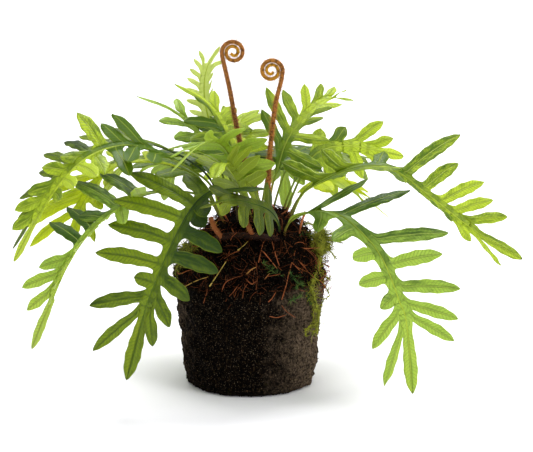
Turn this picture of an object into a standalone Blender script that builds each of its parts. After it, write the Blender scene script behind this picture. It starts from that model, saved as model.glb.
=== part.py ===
"""Hare's foot fern on its own root ball, as lifted out of a nursery pot.

A tapered peat block carries a mound of wiry roots with moss on two sides. Fronds and two furry
croziers stand in plain holes in the mound. All sizes below are millimetres, and the meshes are
made in metres with +Z up. The origin is the middle of the flat foot of the peat block.
"""
import math
import random
from collections import namedtuple

import bmesh
import bpy
import numpy as np
from mathutils import Vector, noise
from mathutils.bvhtree import BVHTree

MM = 0.001

# Peat block, shaped by the pot that it grew in
BLOCK_TOP_RADIUS = 63.5
BLOCK_FOOT_RADIUS = 54.5
BLOCK_HEIGHT = 92.0
BLOCK_SIDES = 26
BLOCK_ROUNDING = 5.0
BLOCK_RINGS = 6
BLOCK_ROUGHNESS = 3.2
BLOCK_GRAIN = 13.0

# Root mound, which leans a little to the right on top of the block
MOUND_HEIGHT = 60.0
MOUND_LEAN = 6.0
MOUND_SIDES = 20
MOUND_ROUGHNESS = 4.4
MOUND_GRAIN = 11.0
SEAT_GAP = 0.3
ROOT_COUNT = 12
ROOT_RADIUS = 0.8
ROOT_RISE = (3.0, 5.5)
ROOT_DIP = 3.0
FIRST_ROOT = 5.0
ROOT_ARC = 320.0

# Rhizome: a creeping stem across the front of the crown, with two old stubs
RHIZOME_RADIUS = 3.2
STUB_RADIUS = 2.4
RHIZOME_RUN = [(-27, -33, 131), (-15, -38, 134), (0, -41, 134), (14, -41, 133), (25, -38, 131)]
RHIZOME_STUBS = [[(3, -41, 134), (-1, -41, 144), (-5, -37, 155)],
                 [(-22, -36, 132), (-28, -37, 140), (-32, -34, 149)]]

# Moss: a lump on each side of the mound, with sprigs
MOSS_SPRIGS = 11
SPRIG_RADIUS = 0.9
SPRIG_LENGTH = (11.0, 17.0)
SPRIG_SPREAD = 0.8
HANGING_RADII = (1.4, 0.9)
MOSS_ROOM = 22.0
MOSS_LUMPINESS = 0.35

# Stalks and blades
STALK_RADIUS = 1.25
STALK_STEP = 20.0
HOLE_CLEARANCE = 0.55
HOLE_RUN = 28.0
HOLE_POINTS = 4
BLADE_THICKNESS = 0.7
RIB_THICKNESS = 2.2
FIRST_RIB = 0.8
LAST_RIB = 0.25
TIP_RIB = 0.1
STALK_EDGE_RIB = 0.2
WEB_HALF_WIDTH = 5.0
FIRST_WEB_SHARE = 0.75
LOBE_ROWS = ((0.22, 0.84), (0.55, 1.0), (0.86, 0.66))
SHORT_LOBE_ROWS = ((0.3, 0.9), (0.76, 0.8))
SHORT_LOBE = 36.0
TIP_ROWS = ((0.28, 0.6), (0.6, 0.92), (0.87, 0.6))
TIP_WIDTH = 0.92
CROWDED_SHARE = 0.75
LOBE_SWEEP = 0.2
LOBE_CUP = 0.12
LOBE_NARROWING = 0.25
FIRST_STEP = 1.4
LAST_STEP = 0.55
BLADE_CLEARANCE = 0.45
LOBE_MARGIN = 0.6
RIB_MARGIN = 0.15
KEEP_OUT_MARGIN = 4.0

# Croziers: the tube thins from foot to coil, and the coil tightens inwards
CROZIER_RADIUS = 2.3
COIL_START_RADIUS = 1.9
COIL_END_RADIUS = 1.3
COIL_OUTER = 8.4
COIL_INNER = 1.3
COIL_TIGHTENING = 0.8
COIL_TURNS = 2.05
COIL_POINTS = 26
CROZIER_STEP = 12.0

SEED = 7

COLOURS = {
    "peat": (0.020, 0.013, 0.009),
    "roots": (0.055, 0.024, 0.012),
    "rhizome": (0.16, 0.055, 0.022),
    "moss": (0.055, 0.085, 0.012),
    "fur": (0.20, 0.085, 0.030),
    "deep": (0.030, 0.125, 0.022),
    "leaf": (0.060, 0.210, 0.025),
    "bright": (0.120, 0.320, 0.030),
    "yellow": (0.230, 0.420, 0.035),
    "olive": (0.095, 0.150, 0.022),
    "pale": (0.350, 0.560, 0.090),
}
LEAF_COLOURS = ("deep", "leaf", "bright", "yellow", "olive", "pale")

Frond = namedtuple("Frond", "name green route stalk left right width facing roll lift droop shift bases",
                   defaults=([],))


def lobes(count, longest, first=88, last=42):
    """Length and angle to the rib of each lobe on one side, from the first to the last"""
    shares = [index / max(count - 1, 1) for index in range(count)]
    return [(longest * (0.8 + 0.8 * share - 0.95 * share ** 2), first + (last - first) * share ** 2.2)
            for share in shares]


# A lobe is its length and its angle to the rib, then how far it is raised and twisted, in degrees
FRONDS = [
    Frond("front_left", "deep",
          [(-8, -20, 128), (-12, -34, 162), (-26, -56, 175), (-43, -73, 166), (-60, -90, 138),
           (-76, -100, 101), (-82, -100, 84), (-98, -92, 26)],
          46, [(52, 111), (22, 60), (18, 80), (40, 93), (44, 102), (32, 81), (32, 54), (36, 30)],
          [(36, 114), (62, 93, 9), (60, 87), (56, 90), (56, 87), (18, 93), (50, 66), (56, 39)],
          15, (264, 262), (0, 0), (0, 0), 0.1, 1, [74, 88, 99, 118, 141, 159, 172, 181]),
    Frond("front_right", "leaf",
          [(31, -25, 120), (30, -35, 138), (41, -52, 154), (69, -74, 159), (92, -92, 144), (107, -100, 124),
           (119, -105, 94), (125, -104, 76), (132, -94, 15)],
          44, [(54, 42, 45), (78, 87), (66, 66), (48, 84), (54, 75), (50, 57), (48, 48)],
          [(18, 99, -55), (24, 99, 0), (30, 108, 35), (34, 104, 30), (18, 80, 10), (40, 69), (56, 33)],
          13.5, (280, 278), (0, 0), (0, 0), 0.05, 1, [58, 89, 122, 146, 164, 177, 187]),
    Frond("left_arch", "bright",
          [(-16, -2, 128), (-29, -8, 166), (-45, -16, 184), (-77, -33, 203), (-104, -47, 210),
           (-133, -61, 200), (-160, -70, 170), (-191, -62, 117)],
          90, [(40, 70, -20), (44, 66, -20), (44, 90, -20), (34, 87, -20), (42, 99, -10), (38, 99),
               (26, 102), (20, 60)],
          [(40, 48, 10), (28, 69, 10), (42, 93, 15), (20, 51, 10), (24, 69, 10), (26, 48, 10),
           (30, 45, 15), (28, 35)],
          14, (205, 215), (0, 0), (10, 35), 0.2, 1, [107, 126, 145, 163, 179, 195, 208, 222]),
    Frond("right_arch", "bright",
          [(28, -6, 124), (40, -17, 160), (60, -30, 178), (91, -42, 192), (118, -48, 190),
           (150, -52, 167), (185, -48, 140), (226, -42, 115)],
          54, [(54, 135, 35), (34, 126, 35), (26, 93), (74, 81, 10), (54, 84), (56, 69), (48, 60),
               (42, 48)],
          [(36, 60, 10), (44, 33, -10), (26, 60, 20), (20, 70, 30), (18, 70, 30), (16, 70, 30), (24, 50),
           (42, 39)],
          13.5, (345, 330), (8, 32), (10, 0), 0.1, 1, [71, 93, 121, 143, 163, 180, 193, 206]),
    Frond("left_low", "leaf",
          [(-14, -12, 126), (-30, -26, 158), (-52, -40, 171), (-87, -58, 170), (-122, -72, 148),
           (-145, -79, 117), (-164, -76, 76), (-177, -70, 46)],
          96, [(34, 80), (34, 80), (26, 90), (22, 90), (20, 80), (20, 60), (20, 60), (20, 65)],
          [(60, 87), (68, 87), (30, 69), (50, 99, 0, 40), (44, 96, 0, 40), (30, 51), (40, 48), (34, 33)],
          13.5, (205, 225), (0, 0), (25, 20), 0.1, 0, [109, 128, 142, 156, 170, 184, 197, 211]),
    Frond("front_centre", "olive",
          [(22, -27, 122), (25, -37, 141), (18, -50, 156), (4, -66, 165), (-16, -82, 171),
           (-38, -94, 166)],
          37, [(24, 88), (28, 80), (26, 75), (24, 45)], [(26, 88), (24, 85), (23, 80), (20, 50)], 13,
          (195, 190), (0, 0), (-40, 50), 0.5, 0, [46, 61, 77, 91]),
    Frond("centre_left", "leaf",
          [(0, -10, 138), (-7, -18, 178), (-22, -36, 209), (-40, -60, 211), (-62, -78, 192)],
          40, [(34, 85), (38, 80), (38, 70), (32, 45)], [(36, 85), (40, 80), (40, 70), (32, 45)], 14,
          (225, 225), (25, 25), (10, 20), 0.4, 1),
    Frond("centre_star", "bright",
          [(6, -17, 134), (-6, -30, 170), (-16, -46, 190), (-22, -66, 198), (-27, -94, 190)],
          36, [(26, 90), (28, 80), (30, 66), (28, 45)], [(36, 90), (42, 80), (42, 70), (34, 45)], 14,
          (262, 262), (0, 0), (40, 40), 0.4, 0),
    Frond("right_back", "bright",
          [(24, 9, 128), (43, 24, 172), (58, 44, 192), (87, 66, 196), (138, 86, 184)],
          76, [(22, 60), (24, 50), (50, 45), (26, 40)], [(36, 70), (34, 70), (32, 65), (28, 45)],
          14, (35, 20), (50, 50), (15, -40), 0.2, 0, [86, 104, 124, 140]),
    Frond("back_right", "bright",
          [(17, 11, 132), (18, 15, 160), (24, 24, 181), (33, 38, 205), (53, 55, 228), (71, 68, 238),
           (92, 76, 235)],
          60, [(40, 52), (54, 57), (40, 60), (32, 48), (24, 40), (22, 42)],
          [(42, 110), (38, 84), (24, 66), (24, 66), (24, 72), (18, 36)],
          11, (78, 70), (0, 0), (10, 10), 0.1, 0, [72, 86, 100, 113, 126, 138]),
    Frond("right_under", "yellow",
          [(29, 3, 126), (47, 10, 164), (72, 18, 175), (95, 20, 160), (120, 14, 140)],
          38, lobes(4, 42), lobes(4, 42), 14, (10, 0), (0, 0), (10, 0), 0.4, 1),
    Frond("left_back_low", "yellow",
          [(-20, 8, 126), (-38, 16, 168), (-66, 22, 184), (-104, 18, 187), (-126, 11, 175),
           (-142, 5, 153), (-150, 0, 128)],
          86, [(36, 88), (38, 86), (34, 78), (28, 70), (28, 99), (42, 72)],
          [(40, 88), (44, 80), (56, 36), (60, 42), (64, 48), (56, 45)],
          12.5, (185, 250), (0, 0), (20, 20), 0.4, 0, [98, 119, 137, 152, 165, 177]),
    Frond("left_back", "deep",
          [(-15, 4, 130), (-32, 10, 172), (-55, 12, 192), (-84, 6, 205), (-109, 0, 208), (-127, -8, 204),
           (-143, -15, 195), (-157, -20, 183), (-169, -24, 168), (-179, -27, 150), (-197, -30, 121)],
          100, [(34, 85), (32, 85), (30, 85), (28, 80), (24, 75), (22, 60), (20, 40)],
          [(34, 60), (34, 70), (40, 90), (44, 87), (28, 84), (36, 63), (34, 30)],
          11, (185, 205), (0, 0), (10, 25), 0.3, 1),
    Frond("back_left_mid", "leaf",
          [(-8, 20, 130), (-26, 34, 180), (-43, 48, 206), (-68, 60, 228), (-100, 66, 240)],
          60, lobes(4, 44), lobes(4, 44), 14, (150, 165), (0, 0), (10, 10), 0.5, 0),
    Frond("back_left_high", "bright",
          [(-4, 12, 135), (-12, 25, 188), (-22, 38, 214), (-38, 48, 236), (-66, 52, 252)],
          54, lobes(4, 42), lobes(4, 42), 14, (125, 160), (0, 0), (0, 0), 0.4, 1),
    Frond("pale_young", "pale",
          [(2, 21, 132), (-20, 46, 176), (-34, 70, 210), (-41, 88, 238), (-39, 98, 262), (-27, 100, 282)],
          108, [(18, 60), (20, 60), (20, 60), (20, 60), (20, 60), (18, 55), (18, 50)],
          [(18, 60), (18, 60), (18, 60), (18, 60), (18, 60), (16, 55), (16, 50)],
          5.5, (115, 90), (-50, -40), (0, 0), 0.1, 0),
    Frond("back_centre", "bright",
          [(6, 12, 136), (-12, 46, 186), (-16, 74, 208), (-4, 93, 221), (20, 98, 220)],
          60, lobes(4, 40), lobes(4, 40), 14, (90, 60), (0, 0), (10, 10), 0.4, 1),
    Frond("back_one", "leaf",
          [(22, 16, 126), (42, 48, 172), (70, 86, 186), (92, 112, 176), (108, 126, 156)],
          64, lobes(4, 42), lobes(4, 42), 15, (50, 50), (0, 0), (10, 10), 0.5, 0),
    Frond("back_two", "bright",
          [(15, 22, 128), (32, 60, 176), (52, 108, 190), (70, 146, 170), (80, 166, 134)],
          70, lobes(5, 48), lobes(5, 48), 15, (66, 70), (0, 0), (10, 10), 0.5, 1),
    Frond("back_three", "leaf",
          [(7, 26, 126), (16, 66, 174), (25, 116, 186), (31, 158, 162), (34, 182, 118)],
          70, lobes(5, 50), lobes(5, 50), 15, (80, 80), (0, 0), (10, 10), 0.5, 0),
    Frond("back_four", "bright",
          [(-3, 28, 124), (-9, 70, 170), (-18, 118, 180), (-26, 160, 158), (-30, 186, 116)],
          70, lobes(5, 50), lobes(5, 50), 15, (98, 98), (0, 0), (10, 10), 0.5, 1),
    Frond("back_five", "leaf",
          [(-12, 24, 124), (-32, 62, 168), (-54, 106, 184), (-72, 146, 168), (-84, 170, 130)],
          70, lobes(5, 48), lobes(5, 48), 15, (114, 114), (0, 0), (10, 10), 0.5, 0),
    Frond("back_six", "bright",
          [(-18, 15, 125), (-46, 50, 168), (-84, 88, 184), (-116, 118, 172), (-138, 138, 142)],
          64, lobes(5, 48), lobes(5, 48), 15, (132, 132), (0, 0), (10, 10), 0.5, 1),
]

Crozier = namedtuple("Crozier", "name route centre start sense")

CROZIERS = [
    Crozier("crozier_left",
            [(7, -2, 134), (5, -5, 168), (-3, -9, 191), (-8, -11, 210), (-12, -11, 230), (-16, -9, 252),
             (-20, -8, 270)],
            (-13, -8, 283), 205, -1),
    Crozier("crozier_right",
            [(15, -11, 130), (16, -14, 172), (17, -17, 196), (19, -18, 218), (22, -16, 241),
             (26, -13, 257)],
            (18.5, -12, 268), -30, 1),
]


Moss = namedtuple("Moss", "name centre size out hanging seed")

MOSS = [
    Moss("moss_right", (60, -14, 124), (9, 12, 17), (1.0, -0.4, 0.2),
         [(59, -19, 116), (59, -24, 108), (56.5, -31, 102), (53, -38, 97), (51.5, -41, 91),
          (53, -41, 85), (55.5, -38, 77), (58, -35, 68), (58, -34, 60), (56, -36, 54), (52.5, -38, 50)], 3),
    Moss("moss_left", (-51, -20, 116), (9, 12, 13), (-1.0, -0.5, 0.1), [], 5),
]


def unit(vector):
    """The vector at length one"""
    return vector / np.linalg.norm(vector)


class Path:
    """A smooth curve through a few points, read by the distance along it"""

    def __init__(self, points, step=1.0):
        knots = np.array(points, float)
        knots = np.vstack([2 * knots[0] - knots[1], knots, 2 * knots[-1] - knots[-2]])
        dense = []
        for before, start, end, after in zip(knots, knots[1:], knots[2:], knots[3:]):
            count = max(2, int(np.linalg.norm(end - start) / step))
            for part in np.arange(count) / count:
                dense.append(0.5 * (2 * start + (end - before) * part
                                    + (2 * before - 5 * start + 4 * end - after) * part ** 2
                                    + (3 * start - before - 3 * end + after) * part ** 3))
        dense.append(knots[-2])
        self.points = np.array(dense)
        steps = np.linalg.norm(np.diff(self.points, axis=0), axis=1)
        self.distance = np.concatenate([[0.0], np.cumsum(steps)])
        self.length = self.distance[-1]

    def at(self, s):
        """The point at distance s"""
        return np.array([np.interp(s, self.distance, self.points[:, axis]) for axis in range(3)])

    def frame(self, s, facing, roll):
        """Point, forward, left and upper directions at distance s"""
        forward = unit(self.at(min(s + 3.0, self.length)) - self.at(max(s - 3.0, 0.0)))
        bearing = math.radians(facing)
        left = np.array([-math.sin(bearing), math.cos(bearing), 0.0])
        left = unit(left - forward * left.dot(forward))
        upper = np.cross(forward, left)
        turn = math.radians(roll)
        return (self.at(s), forward, left * math.cos(turn) + upper * math.sin(turn),
                upper * math.cos(turn) - left * math.sin(turn))


class Sheet:
    """An open surface of triangles, with how much of the rib's thickness each point has"""

    def __init__(self):
        self.points = []
        self.ribs = []
        self.faces = []

    def point(self, place, rib=0.0):
        self.points.append(np.array(place))
        self.ribs.append(rib)
        return len(self.points) - 1

    def quad(self, a, b, c, d):
        self.faces.append((a, b, c))
        self.faces.append((a, c, d))

    def strip(self, row, next_row):
        """Quads between two rows of points"""
        for i in range(len(row) - 1):
            self.quad(row[i], row[i + 1], next_row[i + 1], next_row[i])


def stations(frond, path):
    """Distances of the blade's cross rows: two for each lobe, closer together towards the tip"""
    count = 2 * len(frond.left) + frond.shift
    if frond.bases:
        end = frond.bases[-1] + 0.5 * (1 + frond.shift) * (frond.bases[-1] - frond.bases[-2])
        places = [0, *range(1, 2 * len(frond.left), 2), count]
        return np.interp(range(count + 1), places, [frond.stalk, *frond.bases, end])
    terminal = max(lobe[0] for lobe in frond.left + frond.right)
    weights = np.linspace(FIRST_STEP, LAST_STEP, count)
    run = path.length - frond.stalk - terminal
    return frond.stalk + np.concatenate([[0.0], np.cumsum(weights) * run / weights.sum()])


def blade_frame(frond, path, s):
    """The path's frame with the frond's own facing and roll at distance s"""
    part = min(max((s - frond.stalk) / (path.length - frond.stalk), 0.0), 1.0)
    facing = frond.facing[0] + (frond.facing[1] - frond.facing[0]) * part
    roll = frond.roll[0] + (frond.roll[1] - frond.roll[0]) * part
    return path.frame(s, facing, roll)


def lobe_rows(frond, path, s, side, index, bend, wide=0.0):
    """Three points a row and the tip for the lobe at distance s, side 1 for left and -1 for right"""
    raised, turned, scale = bend
    part = index / (len(frond.left) - 1)
    base, forward, left, upper = blade_frame(frond, path, s)
    length, angle, own_raised, own_turned = (*(frond.left if side > 0 else frond.right)[index], 0, 0)[:4]
    reach = scale * length
    angle = math.radians(angle)
    lift = math.radians(frond.lift[0 if side > 0 else 1] + own_raised + raised)
    outward = side * left * math.cos(lift) + upper * math.sin(lift)
    away = forward * math.cos(angle) + outward * math.sin(angle)
    lobe_upper = upper * math.cos(lift) - side * left * math.sin(lift)
    down = np.array([0.0, 0.0, -1.0])
    half = 0.5 * frond.width * (1.0 - LOBE_NARROWING * part) * math.sqrt(scale) + wide
    rows = []
    place = base.copy()
    last = 0.0
    for share, shape in (SHORT_LOBE_ROWS if length < SHORT_LOBE else LOBE_ROWS) + ((1.0, 0.0),):
        middle = 0.5 * (last + share)
        heading = unit(away + middle * (LOBE_SWEEP * forward + frond.droop * down))
        place = place + heading * reach * (share - last)
        last = share
        across = unit(np.cross(heading, lobe_upper)) * side
        turn = math.radians(own_turned + turned) * share
        across = across * math.cos(turn) - side * np.cross(heading, across) * math.sin(turn)
        if shape:
            crowding = (1.0 - math.sin(angle)) * max(0.0, 1.0 - share / CROWDED_SHARE)
            reach_across = across * half * shape * (1.0 - crowding)
            cup = -LOBE_CUP * side * np.cross(heading, reach_across)
            rows.append((place - reach_across + cup, place, place + reach_across + cup))
    return rows, place


def lobe_sheet(frond, path, s, side, index, bend, wide):
    """One lobe on its own, from its first row out"""
    rows, tip = lobe_rows(frond, path, s, side, index, bend, wide)
    sheet = Sheet()
    row = [sheet.point(place) for place in rows[0]]
    for places in rows[1:]:
        next_row = [sheet.point(place) for place in places]
        sheet.strip(row, next_row)
        row = next_row
    end = sheet.point(tip)
    sheet.faces.append((row[0], row[1], end))
    sheet.faces.append((row[1], row[2], end))
    return sheet


def stalk_rows(frond, path):
    """Rows of three points from the foot of the stalk to the first lobe"""
    count = max(3, round(frond.stalk / STALK_STEP))
    rows = []
    for s in np.linspace(0.0, frond.stalk, count + 1)[:-1]:
        place, _, left, _ = blade_frame(frond, path, s)
        rows.append((place + left * STALK_RADIUS, place, place - left * STALK_RADIUS))
    return rows


def web_places(frond, path, s, half):
    """Left edge, rib and right edge of the web at distance s"""
    place, _, left, upper = blade_frame(frond, path, s)
    lift_left = math.radians(frond.lift[0])
    lift_right = math.radians(frond.lift[1])
    return (place + half * (left * math.cos(lift_left) + upper * math.sin(lift_left)), place,
            place + half * (upper * math.sin(lift_right) - left * math.cos(lift_right)))


def frond_sheet(frond, path, bends):
    """The whole frond as one open surface, with the lobes whose bends are given"""
    sheet = Sheet()
    marks = stations(frond, path)
    row = None
    for places in stalk_rows(frond, path):
        next_row = [sheet.point(places[0], STALK_EDGE_RIB), sheet.point(places[1], 1.0),
                    sheet.point(places[2], STALK_EDGE_RIB)]
        if row:
            sheet.strip(row, next_row)
        row = next_row
    columns = []
    for index, s in enumerate(marks):
        part = index / (len(marks) - 1)
        rib = FIRST_RIB + (LAST_RIB - FIRST_RIB) * part
        half = WEB_HALF_WIDTH * (FIRST_WEB_SHARE if index == 0 else 1.0)
        places = web_places(frond, path, s, half)
        next_row = [sheet.point(places[0]), sheet.point(places[1], rib), sheet.point(places[2])]
        sheet.strip(row, next_row)
        row = next_row
        columns.append(row)
    for (side, index), bend in bends.items():
        first = 2 * index + (frond.shift if side < 0 else 0)
        edge = 0 if side > 0 else 2
        row = [columns[first + step][edge] for step in range(3)]
        rows, tip = lobe_rows(frond, path, marks[first + 1], side, index, bend)
        for places in rows:
            next_row = [sheet.point(place) for place in places]
            if side > 0:
                sheet.strip(row, next_row)
            else:
                sheet.strip(next_row, row)
            row = next_row
        end = sheet.point(tip)
        for a, b in ((row[0], row[1]), (row[1], row[2])):
            sheet.faces.append((a, b, end) if side > 0 else (b, a, end))
    row = columns[-1]
    run = path.length - marks[-1]
    for share, shape in TIP_ROWS:
        place, _, left, _ = blade_frame(frond, path, marks[-1] + share * run)
        half = 0.5 * TIP_WIDTH * frond.width * shape
        next_row = [sheet.point(place + left * half), sheet.point(place, TIP_RIB),
                    sheet.point(place - left * half)]
        sheet.strip(row, next_row)
        row = next_row
    end = sheet.point(path.at(path.length))
    sheet.faces.append((row[0], row[1], end))
    sheet.faces.append((row[1], row[2], end))
    return sheet


def vertex_normals(points, faces):
    """Area-weighted normals of a triangle surface"""
    normals = np.zeros_like(points)
    corners = points[faces]
    crosses = np.cross(corners[:, 1] - corners[:, 0], corners[:, 2] - corners[:, 0])
    for corner in range(3):
        np.add.at(normals, faces[:, corner], crosses)
    return normals / np.maximum(np.linalg.norm(normals, axis=1), 1e-9)[:, None]


def slab(sheet, extra=0.0):
    """A search tree of the sheet with its thickness, and the box round it"""
    points = np.array(sheet.points)
    faces = np.array(sheet.faces)
    ribs = np.array(sheet.ribs)
    half = 0.5 * (BLADE_THICKNESS + (RIB_THICKNESS - BLADE_THICKNESS) * ribs) + extra
    offset = vertex_normals(points, faces) * half[:, None]
    both = np.vstack([points + offset, points - offset])
    count = len(points)
    edges = {}
    for a, b, c in faces.tolist():
        for edge in ((a, b), (b, c), (c, a)):
            edges[edge] = True
    walls = []
    for a, b in edges:
        if (b, a) not in edges:
            walls.append((a, a + count, b + count))
            walls.append((a, b + count, b))
    triangles = np.vstack([faces, faces[:, ::-1] + count, walls])
    tree = BVHTree.FromPolygons(both.tolist(), triangles.tolist())
    return both.min(axis=0), both.max(axis=0), tree


def tube_slab(route, radius):
    """A search tree of a six-sided tube along a route, and the box round it"""
    sides = 6
    rows = []
    for index, place in enumerate(route):
        ahead = route[min(index + 1, len(route) - 1)]
        behind = route[max(index - 1, 0)]
        forward = unit(ahead - behind)
        first = unit(np.cross(forward, (0.0, 1.0, 0.0)))
        second = np.cross(forward, first)
        for side in range(sides):
            angle = math.tau * side / sides
            rows.append(place + radius * (first * math.cos(angle) + second * math.sin(angle)))
    quads = []
    for index in range(len(route) - 1):
        for side in range(sides):
            beside = (side + 1) % sides
            low = index * sides
            quads.append((low + side, low + beside, low + sides + beside, low + sides + side))
    points = np.array(rows)
    return points.min(axis=0), points.max(axis=0), BVHTree.FromPolygons(points.tolist(), quads)


def crozier_points(crozier):
    """Places and radii along a crozier, from its foot to the middle of its coil"""
    path = Path(crozier.route)
    count = round(path.length / CROZIER_STEP)
    places = [path.at(s) for s in np.linspace(0.0, path.length, count + 1)]
    shares = np.linspace(0.0, 1.0, count + 1)
    radii = [CROZIER_RADIUS + (COIL_START_RADIUS - CROZIER_RADIUS) * share for share in shares]
    for index in range(COIL_POINTS):
        share = (index + 0.35) / (COIL_POINTS - 0.65)
        reach = COIL_INNER + COIL_OUTER * (1.0 - share) ** COIL_TIGHTENING
        angle = math.radians(crozier.start) + crozier.sense * math.tau * COIL_TURNS * share
        offset = np.array([reach * math.cos(angle), 0.0, reach * math.sin(angle)])
        places.append(np.array(crozier.centre) + offset)
        radii.append(COIL_START_RADIUS + (COIL_END_RADIUS - COIL_START_RADIUS) * share)
    return places, radii


BENDS = sorted(
    ((raised, turned, scale) for scale in (1.0, 0.85, 0.7, 0.5)
     for raised in (0, 8, -8, 16, -16, 26, -26, 38, -38) for turned in (0, 25, -25)),
    key=lambda bend: abs(bend[0]) + 0.4 * abs(bend[1]) + 60.0 * (1.0 - bend[2]))


class Clearance:
    """What is placed so far, to bend the next lobe clear of it"""

    def __init__(self):
        self.items = []

    def is_clear(self, low, high, tree):
        """True where the lobe in the box from low to high meets nothing"""
        for other_low, other_high, other_tree in self.items:
            if np.all(low < other_high) and np.all(other_low < high) and tree.overlap(other_tree):
                return False
        return True


def mound_profile():
    """Radius and height of the root mound, from its top to its foot"""
    radii = (0.0, 20.0, 33.0, 44.0, 52.0, 57.0, 59.0, 58.0)
    drops = (0.0, 3.0, 9.0, 18.0, 30.0, 43.0, 54.0, MOUND_HEIGHT)
    return [(radius, BLOCK_HEIGHT + MOUND_HEIGHT - drop) for radius, drop in zip(radii, drops)]


def mound_lean(height):
    """How far right the mound's middle is at a height"""
    return MOUND_LEAN * (height - BLOCK_HEIGHT) / MOUND_HEIGHT


def keep_out():
    """Search trees of the root mound, the peat block and the croziers, which the lobes stay clear of"""
    sides = 24
    rings = mound_profile() + [(BLOCK_TOP_RADIUS, BLOCK_HEIGHT), (BLOCK_FOOT_RADIUS, 0.0)]
    points = []
    for radius, height in rings:
        for side in range(sides):
            angle = math.tau * side / sides
            reach = radius + KEEP_OUT_MARGIN
            points.append((reach * math.cos(angle) + mound_lean(max(height, BLOCK_HEIGHT)),
                           reach * math.sin(angle), height))
    quads = []
    for ring in range(len(rings) - 1):
        for side in range(sides):
            low = ring * sides
            beside = (side + 1) % sides
            quads.append((low + side, low + sides + side, low + sides + beside, low + beside))
    points = np.array(points)
    tree = BVHTree.FromPolygons(points.tolist(), quads)
    items = [(points.min(axis=0), points.max(axis=0), tree)]
    for crozier in CROZIERS:
        places, radii = crozier_points(crozier)
        items.append(tube_slab(places, CROZIER_RADIUS + BLADE_CLEARANCE))
    return items


def bend_lobes(fronds):
    """How far each lobe of each frond is bent, turned and shortened to clear the rest"""
    placed = Clearance()
    placed.items.extend(keep_out())
    paths = {}
    for frond in fronds:
        paths[frond.name] = Path(frond.route)
        placed.items.append(slab(frond_sheet(frond, paths[frond.name], {}), RIB_MARGIN))
    bends = {}
    for frond in fronds:
        path = paths[frond.name]
        marks = stations(frond, path)
        chosen = {}
        for index in range(len(frond.left)):
            for side in (1, -1):
                middle = marks[2 * index + 1 + (frond.shift if side < 0 else 0)]
                for bend in BENDS:
                    wide = lobe_sheet(frond, path, middle, side, index, bend, LOBE_MARGIN)
                    if placed.is_clear(*slab(wide, BLADE_CLEARANCE)):
                        placed.items.append(slab(lobe_sheet(frond, path, middle, side, index, bend, 0.0)))
                        chosen[(side, index)] = bend
                        break
        bends[frond.name] = chosen
    return bends


def material(name):
    """The Principled material of one colour"""
    existing = bpy.data.materials.get(name)
    if existing:
        return existing
    made = bpy.data.materials.new(name)
    made.use_nodes = True
    shader = made.node_tree.nodes["Principled BSDF"]
    shader.inputs["Base Color"].default_value = (*COLOURS[name], 1.0)
    shader.inputs["Roughness"].default_value = 0.45 if name in LEAF_COLOURS else 0.9
    shader.inputs["Metallic"].default_value = 0.0
    return made


def add_object(name, mesh, colour, collection):
    """A mesh as a named object with its colour"""
    thing = bpy.data.objects.new(name, mesh)
    collection.objects.link(thing)
    mesh.materials.clear()
    mesh.materials.append(material(colour))
    return thing


def make_frond(frond, bends, collection):
    """One frond: its open surface, thickened, with a thicker stalk and rib"""
    sheet = frond_sheet(frond, Path(frond.route), bends)
    mesh = bpy.data.meshes.new(frond.name)
    mesh.from_pydata([tuple(place * MM) for place in sheet.points], [], sheet.faces)
    thing = add_object("frond_" + frond.name, mesh, frond.green, collection)
    rib = thing.vertex_groups.new(name="rib")
    for index, weight in enumerate(sheet.ribs):
        rib.add([index], weight, "REPLACE")
    solid = thing.modifiers.new("Thickness", "SOLIDIFY")
    solid.thickness = RIB_THICKNESS * MM
    solid.offset = 0.0
    solid.vertex_group = "rib"
    solid.thickness_vertex_group = BLADE_THICKNESS / RIB_THICKNESS
    return thing


def curve_object(name, places, radii, sides_level, collection):
    """A tube along places in millimetres, as a curve with filled caps"""
    curve = bpy.data.curves.new(name, "CURVE")
    curve.dimensions = "3D"
    curve.bevel_depth = MM
    curve.bevel_resolution = sides_level
    curve.use_fill_caps = True
    line = curve.splines.new("POLY")
    line.points.add(len(places) - 1)
    for point, place, radius in zip(line.points, places, radii):
        point.co = (*(np.array(place) * MM), 1.0)
        point.radius = radius
    thing = bpy.data.objects.new(name, curve)
    collection.objects.link(thing)
    return thing


def as_mesh(thing, collection):
    """The curve or modified object as a plain closed mesh object in the same place"""
    graph = bpy.context.evaluated_depsgraph_get()
    mesh = bpy.data.meshes.new_from_object(thing.evaluated_get(graph))
    cage = bmesh.new()
    cage.from_mesh(mesh)
    bmesh.ops.remove_doubles(cage, verts=cage.verts, dist=1e-6)
    bmesh.ops.recalc_face_normals(cage, faces=cage.faces)
    cage.to_mesh(mesh)
    cage.free()
    solid = bpy.data.objects.new(thing.name + "_mesh", mesh)
    solid.matrix_world = thing.matrix_world
    collection.objects.link(solid)
    bpy.data.objects.remove(thing)
    return solid


def join_by_boolean(thing, operation, tools):
    """Join or cut the thing with every object of a collection, apply it and remove them"""
    boolean = thing.modifiers.new("Boolean", "BOOLEAN")
    boolean.operation = operation
    boolean.operand_type = "COLLECTION"
    boolean.collection = tools
    boolean.solver = "EXACT"
    graph = bpy.context.evaluated_depsgraph_get()
    mesh = bpy.data.meshes.new_from_object(thing.evaluated_get(graph))
    thing.modifiers.clear()
    thing.data = mesh
    for tool in list(tools.objects):
        bpy.data.objects.remove(tool)
    bpy.data.collections.remove(tools)


def tool_collection(name):
    """A collection for cutters or for pieces that are about to be joined"""
    tools = bpy.data.collections.new(name)
    bpy.context.scene.collection.children.link(tools)
    return tools


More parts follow.
